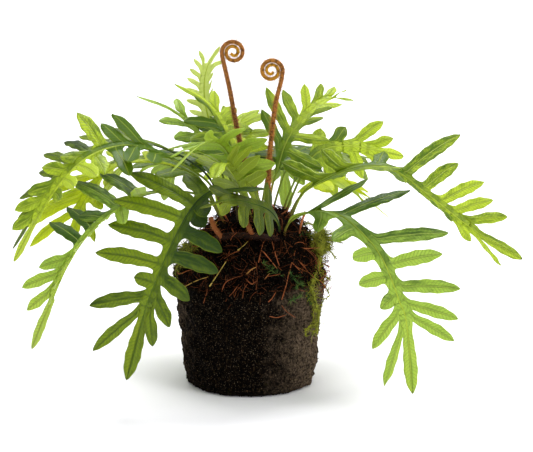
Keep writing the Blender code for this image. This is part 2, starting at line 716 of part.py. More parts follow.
def turned(name, profile, sides, collection):
    """A closed turned solid from its outer profile, top to bottom"""
    mesh = bpy.data.meshes.new(name)
    corners = [(0.0, profile[0][1])] + [place for place in profile if place[0] > 0.0]
    corners.append((0.0, profile[-1][1]))
    places = [(radius * MM, 0.0, height * MM) for radius, height in corners]
    mesh.from_pydata(places, [(i, i + 1) for i in range(len(places) - 1)], [])
    thing = bpy.data.objects.new(name, mesh)
    collection.objects.link(thing)
    screw = thing.modifiers.new("Turn", "SCREW")
    screw.steps = sides
    screw.render_steps = sides
    screw.use_merge_vertices = True
    screw.merge_threshold = 0.00001
    return as_mesh(thing, collection)


def roughen(thing, amount, grain, keep_flat):
    """Push the points of a lump in and out by noise, but not where keep_flat says so"""
    for vertex in thing.data.vertices:
        place = vertex.co.copy()
        if keep_flat(place / MM):
            continue
        out = Vector((place.x, place.y, 0.0))
        if out.length > 1e-6:
            out.normalize()
        vertex.co = place + out * amount * MM * noise.noise(place / MM / grain + Vector((SEED, 0.0, 0.0)))


def make_block(collection):
    """The tapered peat block with a rounded foot and a worn rim"""
    profile = [(BLOCK_TOP_RADIUS - BLOCK_ROUNDING, BLOCK_HEIGHT),
               (BLOCK_TOP_RADIUS - 0.25 * BLOCK_ROUNDING, BLOCK_HEIGHT - 0.4 * BLOCK_ROUNDING)]
    for ring in range(BLOCK_RINGS + 1):
        share = ring / BLOCK_RINGS
        height = (BLOCK_HEIGHT - BLOCK_ROUNDING) * (1.0 - share) + BLOCK_ROUNDING * share
        profile.append((BLOCK_TOP_RADIUS + (BLOCK_FOOT_RADIUS - BLOCK_TOP_RADIUS) * share, height))
    profile.append((BLOCK_FOOT_RADIUS - BLOCK_ROUNDING, 0.0))
    solid = turned("peat_block", profile, BLOCK_SIDES, collection)
    flat = 0.1
    roughen(solid, BLOCK_ROUGHNESS, BLOCK_GRAIN,
            lambda place: place.z < flat or place.z > BLOCK_HEIGHT - flat)
    block = add_object("peat_block", solid.data, "peat", collection)
    bpy.data.objects.remove(solid)
    return block


def mound_surface(angle, drop_share):
    """A place on the mound and the way out of it, for a bearing and a share of the way down"""
    profile = mound_profile()
    shares = np.linspace(0.0, 1.0, len(profile))
    radius = np.interp(drop_share, shares, [place[0] for place in profile])
    height = np.interp(drop_share, shares, [place[1] for place in profile])
    out = unit(np.array([math.cos(angle), math.sin(angle), 1.2 * (1.0 - drop_share)]))
    place = np.array([radius * math.cos(angle) + mound_lean(height), radius * math.sin(angle), height])
    return place, out


def root_tools(tools):
    """Wiry roots that loop out of the mound and back into it"""
    draw = random.Random(SEED)
    for number in range(ROOT_COUNT):
        angle = math.radians(FIRST_ROOT + ROOT_ARC * (number + draw.uniform(0.0, 0.7)) / ROOT_COUNT)
        start_share = draw.uniform(0.25, 0.6)
        start, out = mound_surface(angle, start_share)
        end, end_out = mound_surface(angle + draw.uniform(-0.45, 0.45), min(start_share + 0.3, 0.88))
        rise = draw.uniform(*ROOT_RISE)
        if any(np.linalg.norm(0.5 * (start + end) - np.array(moss.centre)) < MOSS_ROOM for moss in MOSS):
            continue
        places = []
        for step in range(5):
            share = step / 4
            arch = rise * math.sin(math.pi * share) - ROOT_DIP * abs(2.0 * share - 1.0) ** 3
            way_out = out * (1.0 - share) + end_out * share
            places.append(start * (1.0 - share) + end * share + way_out * arch)
        root = curve_object("root", places, [ROOT_RADIUS] * len(places), 0, tools)
        as_mesh(root, tools)


def hole_cutter(route, radius, tools):
    """A plain round hole round the first stretch of a stalk"""
    path = Path(route)
    places = [path.at(s) for s in np.linspace(0.0, HOLE_RUN, HOLE_POINTS)]
    places[0] = places[0] - unit(places[1] - places[0]) * SEAT_GAP
    hole = curve_object("hole", places, [radius + HOLE_CLEARANCE] * len(places), 1, tools)
    as_mesh(hole, tools)


def rhizome_tubes(tools, spare):
    """The creeping stem and its stubs, with spare room round them"""
    ends = [0.75, 1.0, 1.0, 1.0, 0.8]
    run = curve_object("run", RHIZOME_RUN, [RHIZOME_RADIUS * end + spare for end in ends], 1, tools)
    as_mesh(run, tools)
    for places in RHIZOME_STUBS:
        stub = curve_object("stub", places, [STUB_RADIUS + spare] * 3, 1, tools)
        as_mesh(stub, tools)


def keep_largest_body(mesh):
    """Drop the loose scraps that a cut can leave"""
    cage = bmesh.new()
    cage.from_mesh(mesh)
    left = set(cage.verts)
    bodies = []
    while left:
        body = {left.pop()}
        front = list(body)
        while front:
            vertex = front.pop()
            for edge in vertex.link_edges:
                other = edge.other_vert(vertex)
                if other not in body:
                    body.add(other)
                    front.append(other)
        left -= body
        bodies.append(body)
    bodies.sort(key=len)
    for body in bodies[:-1]:
        bmesh.ops.delete(cage, geom=list(body), context="VERTS")
    cage.to_mesh(mesh)
    cage.free()


def make_mound(collection):
    """The domed mat of roots with its loops, and the holes and groove that the stems stand in"""
    profile = mound_profile()
    profile[-1] = (profile[-1][0], BLOCK_HEIGHT + SEAT_GAP)
    solid = turned("root_mound", profile, MOUND_SIDES, collection)
    for vertex in solid.data.vertices:
        vertex.co.x += mound_lean(vertex.co.z / MM) * MM
    floor = BLOCK_HEIGHT + 1.0
    roughen(solid, MOUND_ROUGHNESS, MOUND_GRAIN, lambda place: place.z < floor)
    lump = solid.data.copy()
    mound = add_object("root_mound", solid.data, "roots", collection)
    bpy.data.objects.remove(solid)
    roots = tool_collection("roots")
    root_tools(roots)
    join_by_boolean(mound, "UNION", roots)
    holes = tool_collection("holes")
    for frond in FRONDS:
        hole_cutter(frond.route, STALK_RADIUS, holes)
    for crozier in CROZIERS:
        hole_cutter(crozier.route, CROZIER_RADIUS, holes)
    rhizome_tubes(holes, HOLE_CLEARANCE)
    join_by_boolean(mound, "DIFFERENCE", holes)
    keep_largest_body(mound.data)
    mound.data.materials.clear()
    mound.data.materials.append(material("roots"))
    return lump


def make_rhizome(collection):
    """The creeping stem with its two old stubs, in one piece"""
    tubes = tool_collection("rhizome_tubes")
    rhizome_tubes(tubes, 0.0)
    run, *stubs = list(tubes.objects)
    rhizome = add_object("rhizome", run.data, "rhizome", collection)
    bpy.data.objects.remove(run)
    join_by_boolean(rhizome, "UNION", tubes)
    rhizome.data.materials.clear()
    rhizome.data.materials.append(material("rhizome"))


def make_moss(moss, lump, collection):
    """A lump of moss with sprigs, which lies on the mound and hangs from it"""
    draw = random.Random(moss.seed)
    cage = bmesh.new()
    bmesh.ops.create_icosphere(cage, subdivisions=2, radius=1.0)
    for vertex in cage.verts:
        vertex.co *= 1.0 + MOSS_LUMPINESS * noise.noise(vertex.co * 1.6 + Vector((moss.seed, 0.0, 0.0)))
        place = [moss.centre[axis] + vertex.co[axis] * moss.size[axis] for axis in range(3)]
        vertex.co = Vector(place) * MM
    mesh = bpy.data.meshes.new(moss.name)
    cage.to_mesh(mesh)
    cage.free()
    tuft = add_object(moss.name, mesh, "moss", collection)
    sprigs = tool_collection("sprigs")
    middle = np.array(moss.centre)
    for _ in range(MOSS_SPRIGS):
        stray = [draw.uniform(-SPRIG_SPREAD, SPRIG_SPREAD) for _ in range(3)]
        aim = unit(np.array(moss.out) + np.array(stray))
        root = middle + aim * np.array(moss.size) * 0.5
        reach = draw.uniform(*SPRIG_LENGTH)
        places = [root, root + aim * reach * 0.5, root + aim * reach * 0.9 - np.array([0, 0, 0.25 * reach])]
        as_mesh(curve_object("sprig", places, [SPRIG_RADIUS, SPRIG_RADIUS, 0.5], 0, sprigs), sprigs)
    if moss.hanging:
        radii = np.linspace(*HANGING_RADII, len(moss.hanging))
        as_mesh(curve_object("hanging", moss.hanging, radii, 0, sprigs), sprigs)
    join_by_boolean(tuft, "UNION", sprigs)
    coat = tool_collection("coat")
    coat_mesh = lump.copy()
    normals = [vertex.normal.copy() for vertex in coat_mesh.vertices]
    for vertex, normal in zip(coat_mesh.vertices, normals):
        vertex.co += normal * SEAT_GAP * 1.5 * MM
    coat.objects.link(bpy.data.objects.new("coat", coat_mesh))
    join_by_boolean(tuft, "DIFFERENCE", coat)
    keep_largest_body(tuft.data)
    tuft.data.materials.clear()
    tuft.data.materials.append(material("moss"))


def make_crozier(crozier, collection):
    """A young frond still rolled up: a furry tube that ends in a flat coil"""
    places, radii = crozier_points(crozier)
    tube = curve_object(crozier.name, places, radii, 1, collection)
    tube.data.materials.append(material("fur"))
    return tube


def clear_scene():
    """Remove whatever the open file holds"""
    for thing in list(bpy.data.objects):
        bpy.data.objects.remove(thing)


def main():
    """Build the whole plant"""
    clear_scene()
    plant = bpy.data.collections.new("hares_foot_fern")
    bpy.context.scene.collection.children.link(plant)
    make_block(plant)
    lump = make_mound(plant)
    make_rhizome(plant)
    for moss in MOSS:
        make_moss(moss, lump, plant)
    for crozier in CROZIERS:
        make_crozier(crozier, plant)
    bends = bend_lobes(FRONDS)
    for frond in FRONDS:
        make_frond(frond, bends[frond.name], plant)


main()
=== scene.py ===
import math
import random
from collections import namedtuple

import bmesh
import bpy
import numpy as np
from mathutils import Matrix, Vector, noise
from mathutils.bvhtree import BVHTree


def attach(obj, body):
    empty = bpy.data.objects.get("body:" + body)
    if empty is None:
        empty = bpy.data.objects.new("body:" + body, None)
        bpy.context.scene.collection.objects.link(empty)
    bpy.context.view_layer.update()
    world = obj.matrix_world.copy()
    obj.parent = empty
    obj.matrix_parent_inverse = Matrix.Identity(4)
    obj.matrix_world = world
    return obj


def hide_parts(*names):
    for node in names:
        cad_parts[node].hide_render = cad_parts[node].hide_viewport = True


# The fern as the photo shows it. Every fine piece follows the named values that the solids were
# made from, so it lies where its solid lies. Sizes are millimetres, and meshes are in metres.
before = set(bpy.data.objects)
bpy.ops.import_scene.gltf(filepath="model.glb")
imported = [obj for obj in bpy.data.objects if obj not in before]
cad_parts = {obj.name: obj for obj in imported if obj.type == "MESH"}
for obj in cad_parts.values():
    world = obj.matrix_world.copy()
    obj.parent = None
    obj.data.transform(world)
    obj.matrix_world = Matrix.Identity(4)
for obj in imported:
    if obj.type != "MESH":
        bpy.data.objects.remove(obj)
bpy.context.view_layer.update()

# Camera, in the photo's frame of 533 by 452
CAMERA_TARGET = (14.5, 0.0, 135.5)
CAMERA_DISTANCE = 1300.0
CAMERA_HEIGHT_ANGLE = 10.0
FOCAL_PIXELS = 1529.4

MM = 0.001

# Peat block, tapered towards its foot
BLOCK_TOP_RADIUS = 63.5
BLOCK_FOOT_RADIUS = 54.5
BLOCK_HEIGHT = 92.0
BLOCK_ROUNDING = 5.0
BLOCK_ROUGHNESS = 3.2
BLOCK_GRAIN = 13.0

# Root mound, which leans a little to the right on top of the block
MOUND_HEIGHT = 60.0
MOUND_LEAN = 6.0
MOUND_ROUGHNESS = 4.4
MOUND_GRAIN = 11.0

# Rhizome: a creeping stem across the front of the crown, with two old stubs
RHIZOME_RADIUS = 3.2
STUB_RADIUS = 2.4
RHIZOME_RUN = [(-27, -33, 131), (-15, -38, 134), (0, -41, 134), (14, -41, 133), (25, -38, 131)]
RHIZOME_STUBS = [[(3, -41, 134), (-1, -41, 144), (-5, -37, 155)],
                 [(-22, -36, 132), (-28, -37, 140), (-32, -34, 149)]]

# Stalks and blades
STALK_RADIUS = 1.25
STALK_STEP = 20.0
BLADE_THICKNESS = 0.7
RIB_THICKNESS = 2.2
FIRST_RIB = 0.8
LAST_RIB = 0.25
TIP_RIB = 0.1
STALK_EDGE_RIB = 0.2
WEB_HALF_WIDTH = 5.0
FIRST_WEB_SHARE = 0.75
LOBE_ROWS = ((0.22, 0.84), (0.55, 1.0), (0.86, 0.66))
SHORT_LOBE_ROWS = ((0.3, 0.9), (0.76, 0.8))
SHORT_LOBE = 36.0
TIP_ROWS = ((0.28, 0.6), (0.6, 0.92), (0.87, 0.6))
TIP_WIDTH = 0.92
CROWDED_SHARE = 0.75
LOBE_SWEEP = 0.2
LOBE_CUP = 0.12
LOBE_NARROWING = 0.25
FIRST_STEP = 1.4
LAST_STEP = 0.55
BLADE_CLEARANCE = 0.45
LOBE_MARGIN = 0.6
RIB_MARGIN = 0.15
KEEP_OUT_MARGIN = 4.0
KEEP_OUT_SIDES = 24
TUBE_SIDES = 6

# Croziers: the tube thins from foot to coil, and the coil tightens inwards
CROZIER_RADIUS = 2.3
COIL_START_RADIUS = 1.9
COIL_END_RADIUS = 1.3
COIL_OUTER = 8.4
COIL_INNER = 1.3
COIL_TIGHTENING = 0.8
COIL_TURNS = 2.05
COIL_POINTS = 26
CROZIER_STEP = 12.0

SEED = 7

Frond = namedtuple("Frond", "name green route stalk left right width facing roll lift droop shift bases",
                   defaults=([],))


def lobes(count, longest, first=88, last=42):
    """Length and angle to the rib of each lobe on one side, from the first to the last"""
    shares = [index / max(count - 1, 1) for index in range(count)]
    return [(longest * (0.8 + 0.8 * share - 0.95 * share ** 2), first + (last - first) * share ** 2.2)
            for share in shares]


# A lobe is its length and its angle to the rib, then how far it is raised and twisted, in degrees
FRONDS = [
    Frond("front_left", "deep",
          [(-8, -20, 128), (-12, -34, 162), (-26, -56, 175), (-43, -73, 166), (-60, -90, 138),
           (-76, -100, 101), (-82, -100, 84), (-98, -92, 26)],
          46, [(52, 111), (22, 60), (18, 80), (40, 93), (44, 102), (32, 81), (32, 54), (36, 30)],
          [(36, 114), (62, 93, 9), (60, 87), (56, 90), (56, 87), (18, 93), (50, 66), (56, 39)],
          15, (264, 262), (0, 0), (0, 0), 0.1, 1, [74, 88, 99, 118, 141, 159, 172, 181]),
    Frond("front_right", "leaf",
          [(31, -25, 120), (30, -35, 138), (41, -52, 154), (69, -74, 159), (92, -92, 144), (107, -100, 124),
           (119, -105, 94), (125, -104, 76), (132, -94, 15)],
          44, [(54, 42, 45), (78, 87), (66, 66), (48, 84), (54, 75), (50, 57), (48, 48)],
          [(18, 99, -55), (24, 99, 0), (30, 108, 35), (34, 104, 30), (18, 80, 10), (40, 69), (56, 33)],
          13.5, (280, 278), (0, 0), (0, 0), 0.05, 1, [58, 89, 122, 146, 164, 177, 187]),
    Frond("left_arch", "bright",
          [(-16, -2, 128), (-29, -8, 166), (-45, -16, 184), (-77, -33, 203), (-104, -47, 210),
           (-133, -61, 200), (-160, -70, 170), (-191, -62, 117)],
          90, [(40, 70, -20), (44, 66, -20), (44, 90, -20), (34, 87, -20), (42, 99, -10), (38, 99),
               (26, 102), (20, 60)],
          [(40, 48, 10), (28, 69, 10), (42, 93, 15), (20, 51, 10), (24, 69, 10), (26, 48, 10),
           (30, 45, 15), (28, 35)],
          14, (205, 215), (0, 0), (10, 35), 0.2, 1, [107, 126, 145, 163, 179, 195, 208, 222]),
    Frond("right_arch", "bright",
          [(28, -6, 124), (40, -17, 160), (60, -30, 178), (91, -42, 192), (118, -48, 190),
           (150, -52, 167), (185, -48, 140), (226, -42, 115)],
          54, [(54, 135, 35), (34, 126, 35), (26, 93), (74, 81, 10), (54, 84), (56, 69), (48, 60),
               (42, 48)],
          [(36, 60, 10), (44, 33, -10), (26, 60, 20), (20, 70, 30), (18, 70, 30), (16, 70, 30), (24, 50),
           (42, 39)],
          13.5, (345, 330), (8, 32), (10, 0), 0.1, 1, [71, 93, 121, 143, 163, 180, 193, 206]),
    Frond("left_low", "leaf",
          [(-14, -12, 126), (-30, -26, 158), (-52, -40, 171), (-87, -58, 170), (-122, -72, 148),
           (-145, -79, 117), (-164, -76, 76), (-177, -70, 46)],
          96, [(34, 80), (34, 80), (26, 90), (22, 90), (20, 80), (20, 60), (20, 60), (20, 65)],
          [(60, 87), (68, 87), (30, 69), (50, 99, 0, 40), (44, 96, 0, 40), (30, 51), (40, 48), (34, 33)],
          13.5, (205, 225), (0, 0), (25, 20), 0.1, 0, [109, 128, 142, 156, 170, 184, 197, 211]),
    Frond("front_centre", "olive",
          [(22, -27, 122), (25, -37, 141), (18, -50, 156), (4, -66, 165), (-16, -82, 171),
           (-38, -94, 166)],
          37, [(24, 88), (28, 80), (26, 75), (24, 45)], [(26, 88), (24, 85), (23, 80), (20, 50)], 13,
          (195, 190), (0, 0), (-40, 50), 0.5, 0, [46, 61, 77, 91]),
    Frond("centre_left", "leaf",
          [(0, -10, 138), (-7, -18, 178), (-22, -36, 209), (-40, -60, 211), (-62, -78, 192)],
          40, [(34, 85), (38, 80), (38, 70), (32, 45)], [(36, 85), (40, 80), (40, 70), (32, 45)], 14,
          (225, 225), (25, 25), (10, 20), 0.4, 1),
    Frond("centre_star", "bright",
          [(6, -17, 134), (-6, -30, 170), (-16, -46, 190), (-22, -66, 198), (-27, -94, 190)],
          36, [(26, 90), (28, 80), (30, 66), (28, 45)], [(36, 90), (42, 80), (42, 70), (34, 45)], 14,
          (262, 262), (0, 0), (40, 40), 0.4, 0),
    Frond("right_back", "bright",
          [(24, 9, 128), (43, 24, 172), (58, 44, 192), (87, 66, 196), (138, 86, 184)],
          76, [(22, 60), (24, 50), (50, 45), (26, 40)], [(36, 70), (34, 70), (32, 65), (28, 45)],
          14, (35, 20), (50, 50), (15, -40), 0.2, 0, [86, 104, 124, 140]),
    Frond("back_right", "bright",
          [(17, 11, 132), (18, 15, 160), (24, 24, 181), (33, 38, 205), (53, 55, 228), (71, 68, 238),
           (92, 76, 235)],
          60, [(40, 52), (54, 57), (40, 60), (32, 48), (24, 40), (22, 42)],
          [(42, 110), (38, 84), (24, 66), (24, 66), (24, 72), (18, 36)],
          11, (78, 70), (0, 0), (10, 10), 0.1, 0, [72, 86, 100, 113, 126, 138]),
    Frond("right_under", "yellow",
          [(29, 3, 126), (47, 10, 164), (72, 18, 175), (95, 20, 160), (120, 14, 140)],
          38, lobes(4, 42), lobes(4, 42), 14, (10, 0), (0, 0), (10, 0), 0.4, 1),
    Frond("left_back_low", "yellow",
          [(-20, 8, 126), (-38, 16, 168), (-66, 22, 184), (-104, 18, 187), (-126, 11, 175),
           (-142, 5, 153), (-150, 0, 128)],
          86, [(36, 88), (38, 86), (34, 78), (28, 70), (28, 99), (42, 72)],
          [(40, 88), (44, 80), (56, 36), (60, 42), (64, 48), (56, 45)],
          12.5, (185, 250), (0, 0), (20, 20), 0.4, 0, [98, 119, 137, 152, 165, 177]),
    Frond("left_back", "deep",
          [(-15, 4, 130), (-32, 10, 172), (-55, 12, 192), (-84, 6, 205), (-109, 0, 208), (-127, -8, 204),
           (-143, -15, 195), (-157, -20, 183), (-169, -24, 168), (-179, -27, 150), (-197, -30, 121)],
          100, [(34, 85), (32, 85), (30, 85), (28, 80), (24, 75), (22, 60), (20, 40)],
          [(34, 60), (34, 70), (40, 90), (44, 87), (28, 84), (36, 63), (34, 30)],
          11, (185, 205), (0, 0), (10, 25), 0.3, 1),
    Frond("back_left_mid", "leaf",
          [(-8, 20, 130), (-26, 34, 180), (-43, 48, 206), (-68, 60, 228), (-100, 66, 240)],
          60, lobes(4, 44), lobes(4, 44), 14, (150, 165), (0, 0), (10, 10), 0.5, 0),
    Frond("back_left_high", "bright",
          [(-4, 12, 135), (-12, 25, 188), (-22, 38, 214), (-38, 48, 236), (-66, 52, 252)],
          54, lobes(4, 42), lobes(4, 42), 14, (125, 160), (0, 0), (0, 0), 0.4, 1),
    Frond("pale_young", "pale",
          [(2, 21, 132), (-20, 46, 176), (-34, 70, 210), (-41, 88, 238), (-39, 98, 262), (-27, 100, 282)],
          108, [(18, 60), (20, 60), (20, 60), (20, 60), (20, 60), (18, 55), (18, 50)],
          [(18, 60), (18, 60), (18, 60), (18, 60), (18, 60), (16, 55), (16, 50)],
          5.5, (115, 90), (-50, -40), (0, 0), 0.1, 0),
    Frond("back_centre", "bright",
          [(6, 12, 136), (-12, 46, 186), (-16, 74, 208), (-4, 93, 221), (20, 98, 220)],
          60, lobes(4, 40), lobes(4, 40), 14, (90, 60), (0, 0), (10, 10), 0.4, 1),
]

# The six that fill the back half: shade, route, stalk, number and length of the lobes, facing, shift
BACK_FRONDS = (
    ("back_one", "leaf", [(22, 16, 126), (42, 48, 172), (70, 86, 186), (92, 112, 176), (108, 126, 156)],
     64, 4, 42, (50, 50), 0),
    ("back_two", "bright", [(15, 22, 128), (32, 60, 176), (52, 108, 190), (70, 146, 170), (80, 166, 134)],
     70, 5, 48, (66, 70), 1),
    ("back_three", "leaf", [(7, 26, 126), (16, 66, 174), (25, 116, 186), (31, 158, 162), (34, 182, 118)],
     70, 5, 50, (80, 80), 0),
    ("back_four", "bright",
     [(-3, 28, 124), (-9, 70, 170), (-18, 118, 180), (-26, 160, 158), (-30, 186, 116)],
     70, 5, 50, (98, 98), 1),
    ("back_five", "leaf",
     [(-12, 24, 124), (-32, 62, 168), (-54, 106, 184), (-72, 146, 168), (-84, 170, 130)],
     70, 5, 48, (114, 114), 0),
    ("back_six", "bright",
     [(-18, 15, 125), (-46, 50, 168), (-84, 88, 184), (-116, 118, 172), (-138, 138, 142)],
     64, 5, 48, (132, 132), 1),
)
FRONDS += [Frond(name, green, route, stalk, lobes(count, longest), lobes(count, longest), 15, facing,
                 (0, 0), (10, 10), 0.5, shift)
           for name, green, route, stalk, count, longest, facing, shift in BACK_FRONDS]

Crozier = namedtuple("Crozier", "name route centre start sense")

CROZIERS = [
    Crozier("crozier_left",
            [(7, -2, 134), (5, -5, 168), (-3, -9, 191), (-8, -11, 210), (-12, -11, 230), (-16, -9, 252),
             (-20, -8, 270)],
            (-13, -8, 283), 205, -1),
    Crozier("crozier_right",
            [(15, -11, 130), (16, -14, 172), (17, -17, 196), (19, -18, 218), (22, -16, 241),
             (26, -13, 257)],
            (18.5, -12, 268), -30, 1),
]

Moss = namedtuple("Moss", "name centre seed tone")

MOSS = [Moss("moss_right", (60, -14, 124), 3, 0.55), Moss("moss_left", (-51, -20, 116), 5, 0.35)]

DOWN = np.array([0.0, 0.0, -1.0])


def unit(vector):
    """The vector at length one"""
    return vector / np.linalg.norm(vector)


def turns(count):
    """Angles round a full turn in equal steps"""
    return [math.tau * step / count for step in range(count)]


def distances_along(points):
    """How far each point lies from the first, along them all"""
    return np.concatenate([[0.0], np.cumsum(np.linalg.norm(np.diff(points, axis=0), axis=1))])


class Path:
    """A smooth curve through a few points, read by the distance along it"""

    def __init__(self, points, step=1.0):
        knots = np.array(points, float)
        knots = np.vstack([2 * knots[0] - knots[1], knots, 2 * knots[-1] - knots[-2]])
        dense = []
        for before, start, end, after in zip(knots, knots[1:], knots[2:], knots[3:]):
            count = max(2, int(np.linalg.norm(end - start) / step))
            for part in np.arange(count) / count:
                dense.append(0.5 * (2 * start + (end - before) * part
                                    + (2 * before - 5 * start + 4 * end - after) * part ** 2
                                    + (3 * start - before - 3 * end + after) * part ** 3))
        dense.append(knots[-2])
        self.points = np.array(dense)
        self.distance = distances_along(self.points)
        self.length = self.distance[-1]

    def at(self, s):
        """The point at distance s, or a row for each of several distances"""
        return np.array([np.interp(s, self.distance, self.points[:, axis]) for axis in range(3)]).T

    def frame(self, s, facing, roll):
        """Point, forward, left and upper directions at distance s"""
        forward = unit(self.at(min(s + 3.0, self.length)) - self.at(max(s - 3.0, 0.0)))
        bearing = math.radians(facing)
        left = np.array([-math.sin(bearing), math.cos(bearing), 0.0])
        left = unit(left - forward * left.dot(forward))
        upper = np.cross(forward, left)
        turn = math.radians(roll)
        return (self.at(s), forward, left * math.cos(turn) + upper * math.sin(turn),
                upper * math.cos(turn) - left * math.sin(turn))


class Sheet:
    """An open surface of triangles, with a number of each fact at each point"""

    def __init__(self, *facts):
        self.points = []
        self.faces = []
        self.facts = {fact: [] for fact in facts}

    def point(self, place, **facts):
        """Add a point with its facts and give its number"""
        self.points.append(place)
        for fact, values in self.facts.items():
            values.append(facts.get(fact, 0.0))
        return len(self.points) - 1

    def strip(self, row, next_row):
        """Triangles between two rows of points"""
        for a, b, c, d in zip(row, row[1:], next_row[1:], next_row):
            self.faces += [(a, b, c), (a, c, d)]

    def fan(self, row, end):
        """Triangles from a row of points to one point"""
        self.faces += [(a, b, end) for a, b in zip(row, row[1:])]


def stations(frond, path):
    """Distances of the blade's cross rows: two for each lobe, closer together towards the tip"""
    count = 2 * len(frond.left) + frond.shift
    if frond.bases:
        end = frond.bases[-1] + 0.5 * (1 + frond.shift) * (frond.bases[-1] - frond.bases[-2])
        places = [0, *range(1, 2 * len(frond.left), 2), count]
        return np.interp(range(count + 1), places, [frond.stalk, *frond.bases, end])
    terminal = max(lobe[0] for lobe in frond.left + frond.right)
    weights = np.linspace(FIRST_STEP, LAST_STEP, count)
    run = path.length - frond.stalk - terminal
    return frond.stalk + np.concatenate([[0.0], np.cumsum(weights) * run / weights.sum()])


def blade_frame(frond, path, s):
    """The path's frame with the frond's own facing and roll at distance s"""
    part = min(max((s - frond.stalk) / (path.length - frond.stalk), 0.0), 1.0)
    facing = frond.facing[0] + (frond.facing[1] - frond.facing[0]) * part
    roll = frond.roll[0] + (frond.roll[1] - frond.roll[0]) * part
    return path.frame(s, facing, roll)


def beside(frond, path, s, side, reach, lifted=True):
    """A point that far from the rib at distance s, on its left for side 1 and on its right for -1"""
    place, _, left, upper = blade_frame(frond, path, s)
    lift = math.radians(frond.lift[0 if side > 0 else 1]) if lifted else 0.0
    return place + reach * (side * left * math.cos(lift) + upper * math.sin(lift))


class Lobe:
    """A lobe at distance s, side 1 for left and -1 for right, raised, turned and scaled by its bend"""

    def __init__(self, frond, path, s, side, index, bend):
        raised, turned, scale = bend
        self.side = side
        self.growth = s / path.length
        self.base, forward, left, upper = blade_frame(frond, path, s)
        own = (*(frond.left if side > 0 else frond.right)[index], 0, 0)
        self.short = own[0] < SHORT_LOBE
        self.reach = scale * own[0]
        self.angle = math.radians(own[1])
        self.turn = math.radians(own[3] + turned)
        lift = math.radians(frond.lift[0 if side > 0 else 1] + own[2] + raised)
        outward = side * left * math.cos(lift) + upper * math.sin(lift)
        self.away = forward * math.cos(self.angle) + outward * math.sin(self.angle)
        self.upper = upper * math.cos(lift) - side * left * math.sin(lift)
        self.bow = LOBE_SWEEP * forward + frond.droop * DOWN
        part = index / (len(frond.left) - 1)
        self.half = 0.5 * frond.width * (1.0 - LOBE_NARROWING * part) * math.sqrt(scale)

    def crowding(self, share):
        """How much width is lost at a share of the length, where the lobe lies close to the rib"""
        return (1.0 - math.sin(self.angle)) * max(0.0, 1.0 - share / CROWDED_SHARE)

    def sheet(self, wide=0.0):
        """The lobe as the solid has it, with three points to a row, this much wider on each side"""
        sheet = Sheet("rib")
        place, last, row = self.base, 0.0, None
        for share, shape in (*(SHORT_LOBE_ROWS if self.short else LOBE_ROWS), (1.0, 0.0)):
            heading = unit(self.away + 0.5 * (last + share) * self.bow)
            place = place + heading * self.reach * (share - last)
            last = share
            if shape:
                across = unit(np.cross(heading, self.upper)) * self.side
                turn = self.turn * share
                across = across * math.cos(turn) - self.side * np.cross(heading, across) * math.sin(turn)
                out = across * (self.half + wide) * shape * (1.0 - self.crowding(share))
                cup = -LOBE_CUP * self.side * np.cross(heading, out)
                next_row = [sheet.point(edge) for edge in (place - out + cup, place, place + out + cup)]
                if row:
                    sheet.strip(row, next_row)
                row = next_row
        sheet.fan(row, sheet.point(place))
        return sheet

    def line(self):
        """Place, across and upper direction in fine steps along the lobe, nine numbers to a row"""
        shares = np.linspace(0.0, 1.0, LINE_STEPS + 1)[:, None]
        headings = self.away + shares * self.bow
        headings /= np.linalg.norm(headings, axis=1)[:, None]
        steps = 0.5 * (headings[1:] + headings[:-1]) * self.reach / LINE_STEPS
        places = self.base + np.vstack([np.zeros(3), np.cumsum(steps, axis=0)])
        across = np.cross(headings, self.upper)
        across *= self.side / np.linalg.norm(across, axis=1)[:, None]
        turn = self.turn * shares
        across = across * np.cos(turn) - self.side * np.cross(headings, across) * np.sin(turn)
        return np.hstack([places, across, -self.side * np.cross(headings, across)])


def rib_sheet(frond, path):
    """A frond's stalk, web and end as one open surface, without its lobes"""
    marks = stations(frond, path)
    run = path.length - marks[-1]
    count = max(3, round(frond.stalk / STALK_STEP))
    rows = [(s, STALK_RADIUS, False, 1.0, STALK_EDGE_RIB)
            for s in np.linspace(0.0, frond.stalk, count + 1)[:-1]]
    for index, s in enumerate(marks):
        rib = FIRST_RIB + (LAST_RIB - FIRST_RIB) * (index / (len(marks) - 1))
        rows.append((s, WEB_HALF_WIDTH * (1.0 if index else FIRST_WEB_SHARE), True, rib, 0.0))
    rows += [(marks[-1] + share * run, 0.5 * TIP_WIDTH * frond.width * shape, False, TIP_RIB, 0.0)
             for share, shape in TIP_ROWS]
    sheet = Sheet("rib")
    row = None
    for s, half, lifted, rib, edge_rib in rows:
        next_row = [sheet.point(beside(frond, path, s, side, half * abs(side), lifted),
                                rib=edge_rib if side else rib) for side in (1, 0, -1)]
        if row:
            sheet.strip(row, next_row)
        row = next_row
    sheet.fan(row, sheet.point(path.at(path.length)))
    return sheet


def vertex_normals(points, faces):
    """Area-weighted normals of a triangle surface"""
    normals = np.zeros_like(points)
    corners = points[faces]
    crosses = np.cross(corners[:, 1] - corners[:, 0], corners[:, 2] - corners[:, 0])
    for corner in range(3):
        np.add.at(normals, faces[:, corner], crosses)
    return normals / np.maximum(np.linalg.norm(normals, axis=1), 1e-9)[:, None]


def thickened(points, faces, half):
    """Both sides of an open surface with this half thickness, and its closed rim"""
    count = len(points)
    offset = vertex_normals(points, faces) * half[:, None]
    edges = dict.fromkeys(edge for a, b, c in faces.tolist() for edge in ((a, b), (b, c), (c, a)))
    walls = [wall for a, b in edges if (b, a) not in edges
             for wall in ((b, a, a + count), (b, a + count, b + count))]
    return np.vstack([points + offset, points - offset]), np.vstack([faces, faces[:, ::-1] + count, walls])


def boxed(points, faces):
    """The low and high corner of the box round points, and a search tree of their faces"""
    return points.min(axis=0), points.max(axis=0), BVHTree.FromPolygons(points.tolist(), faces)


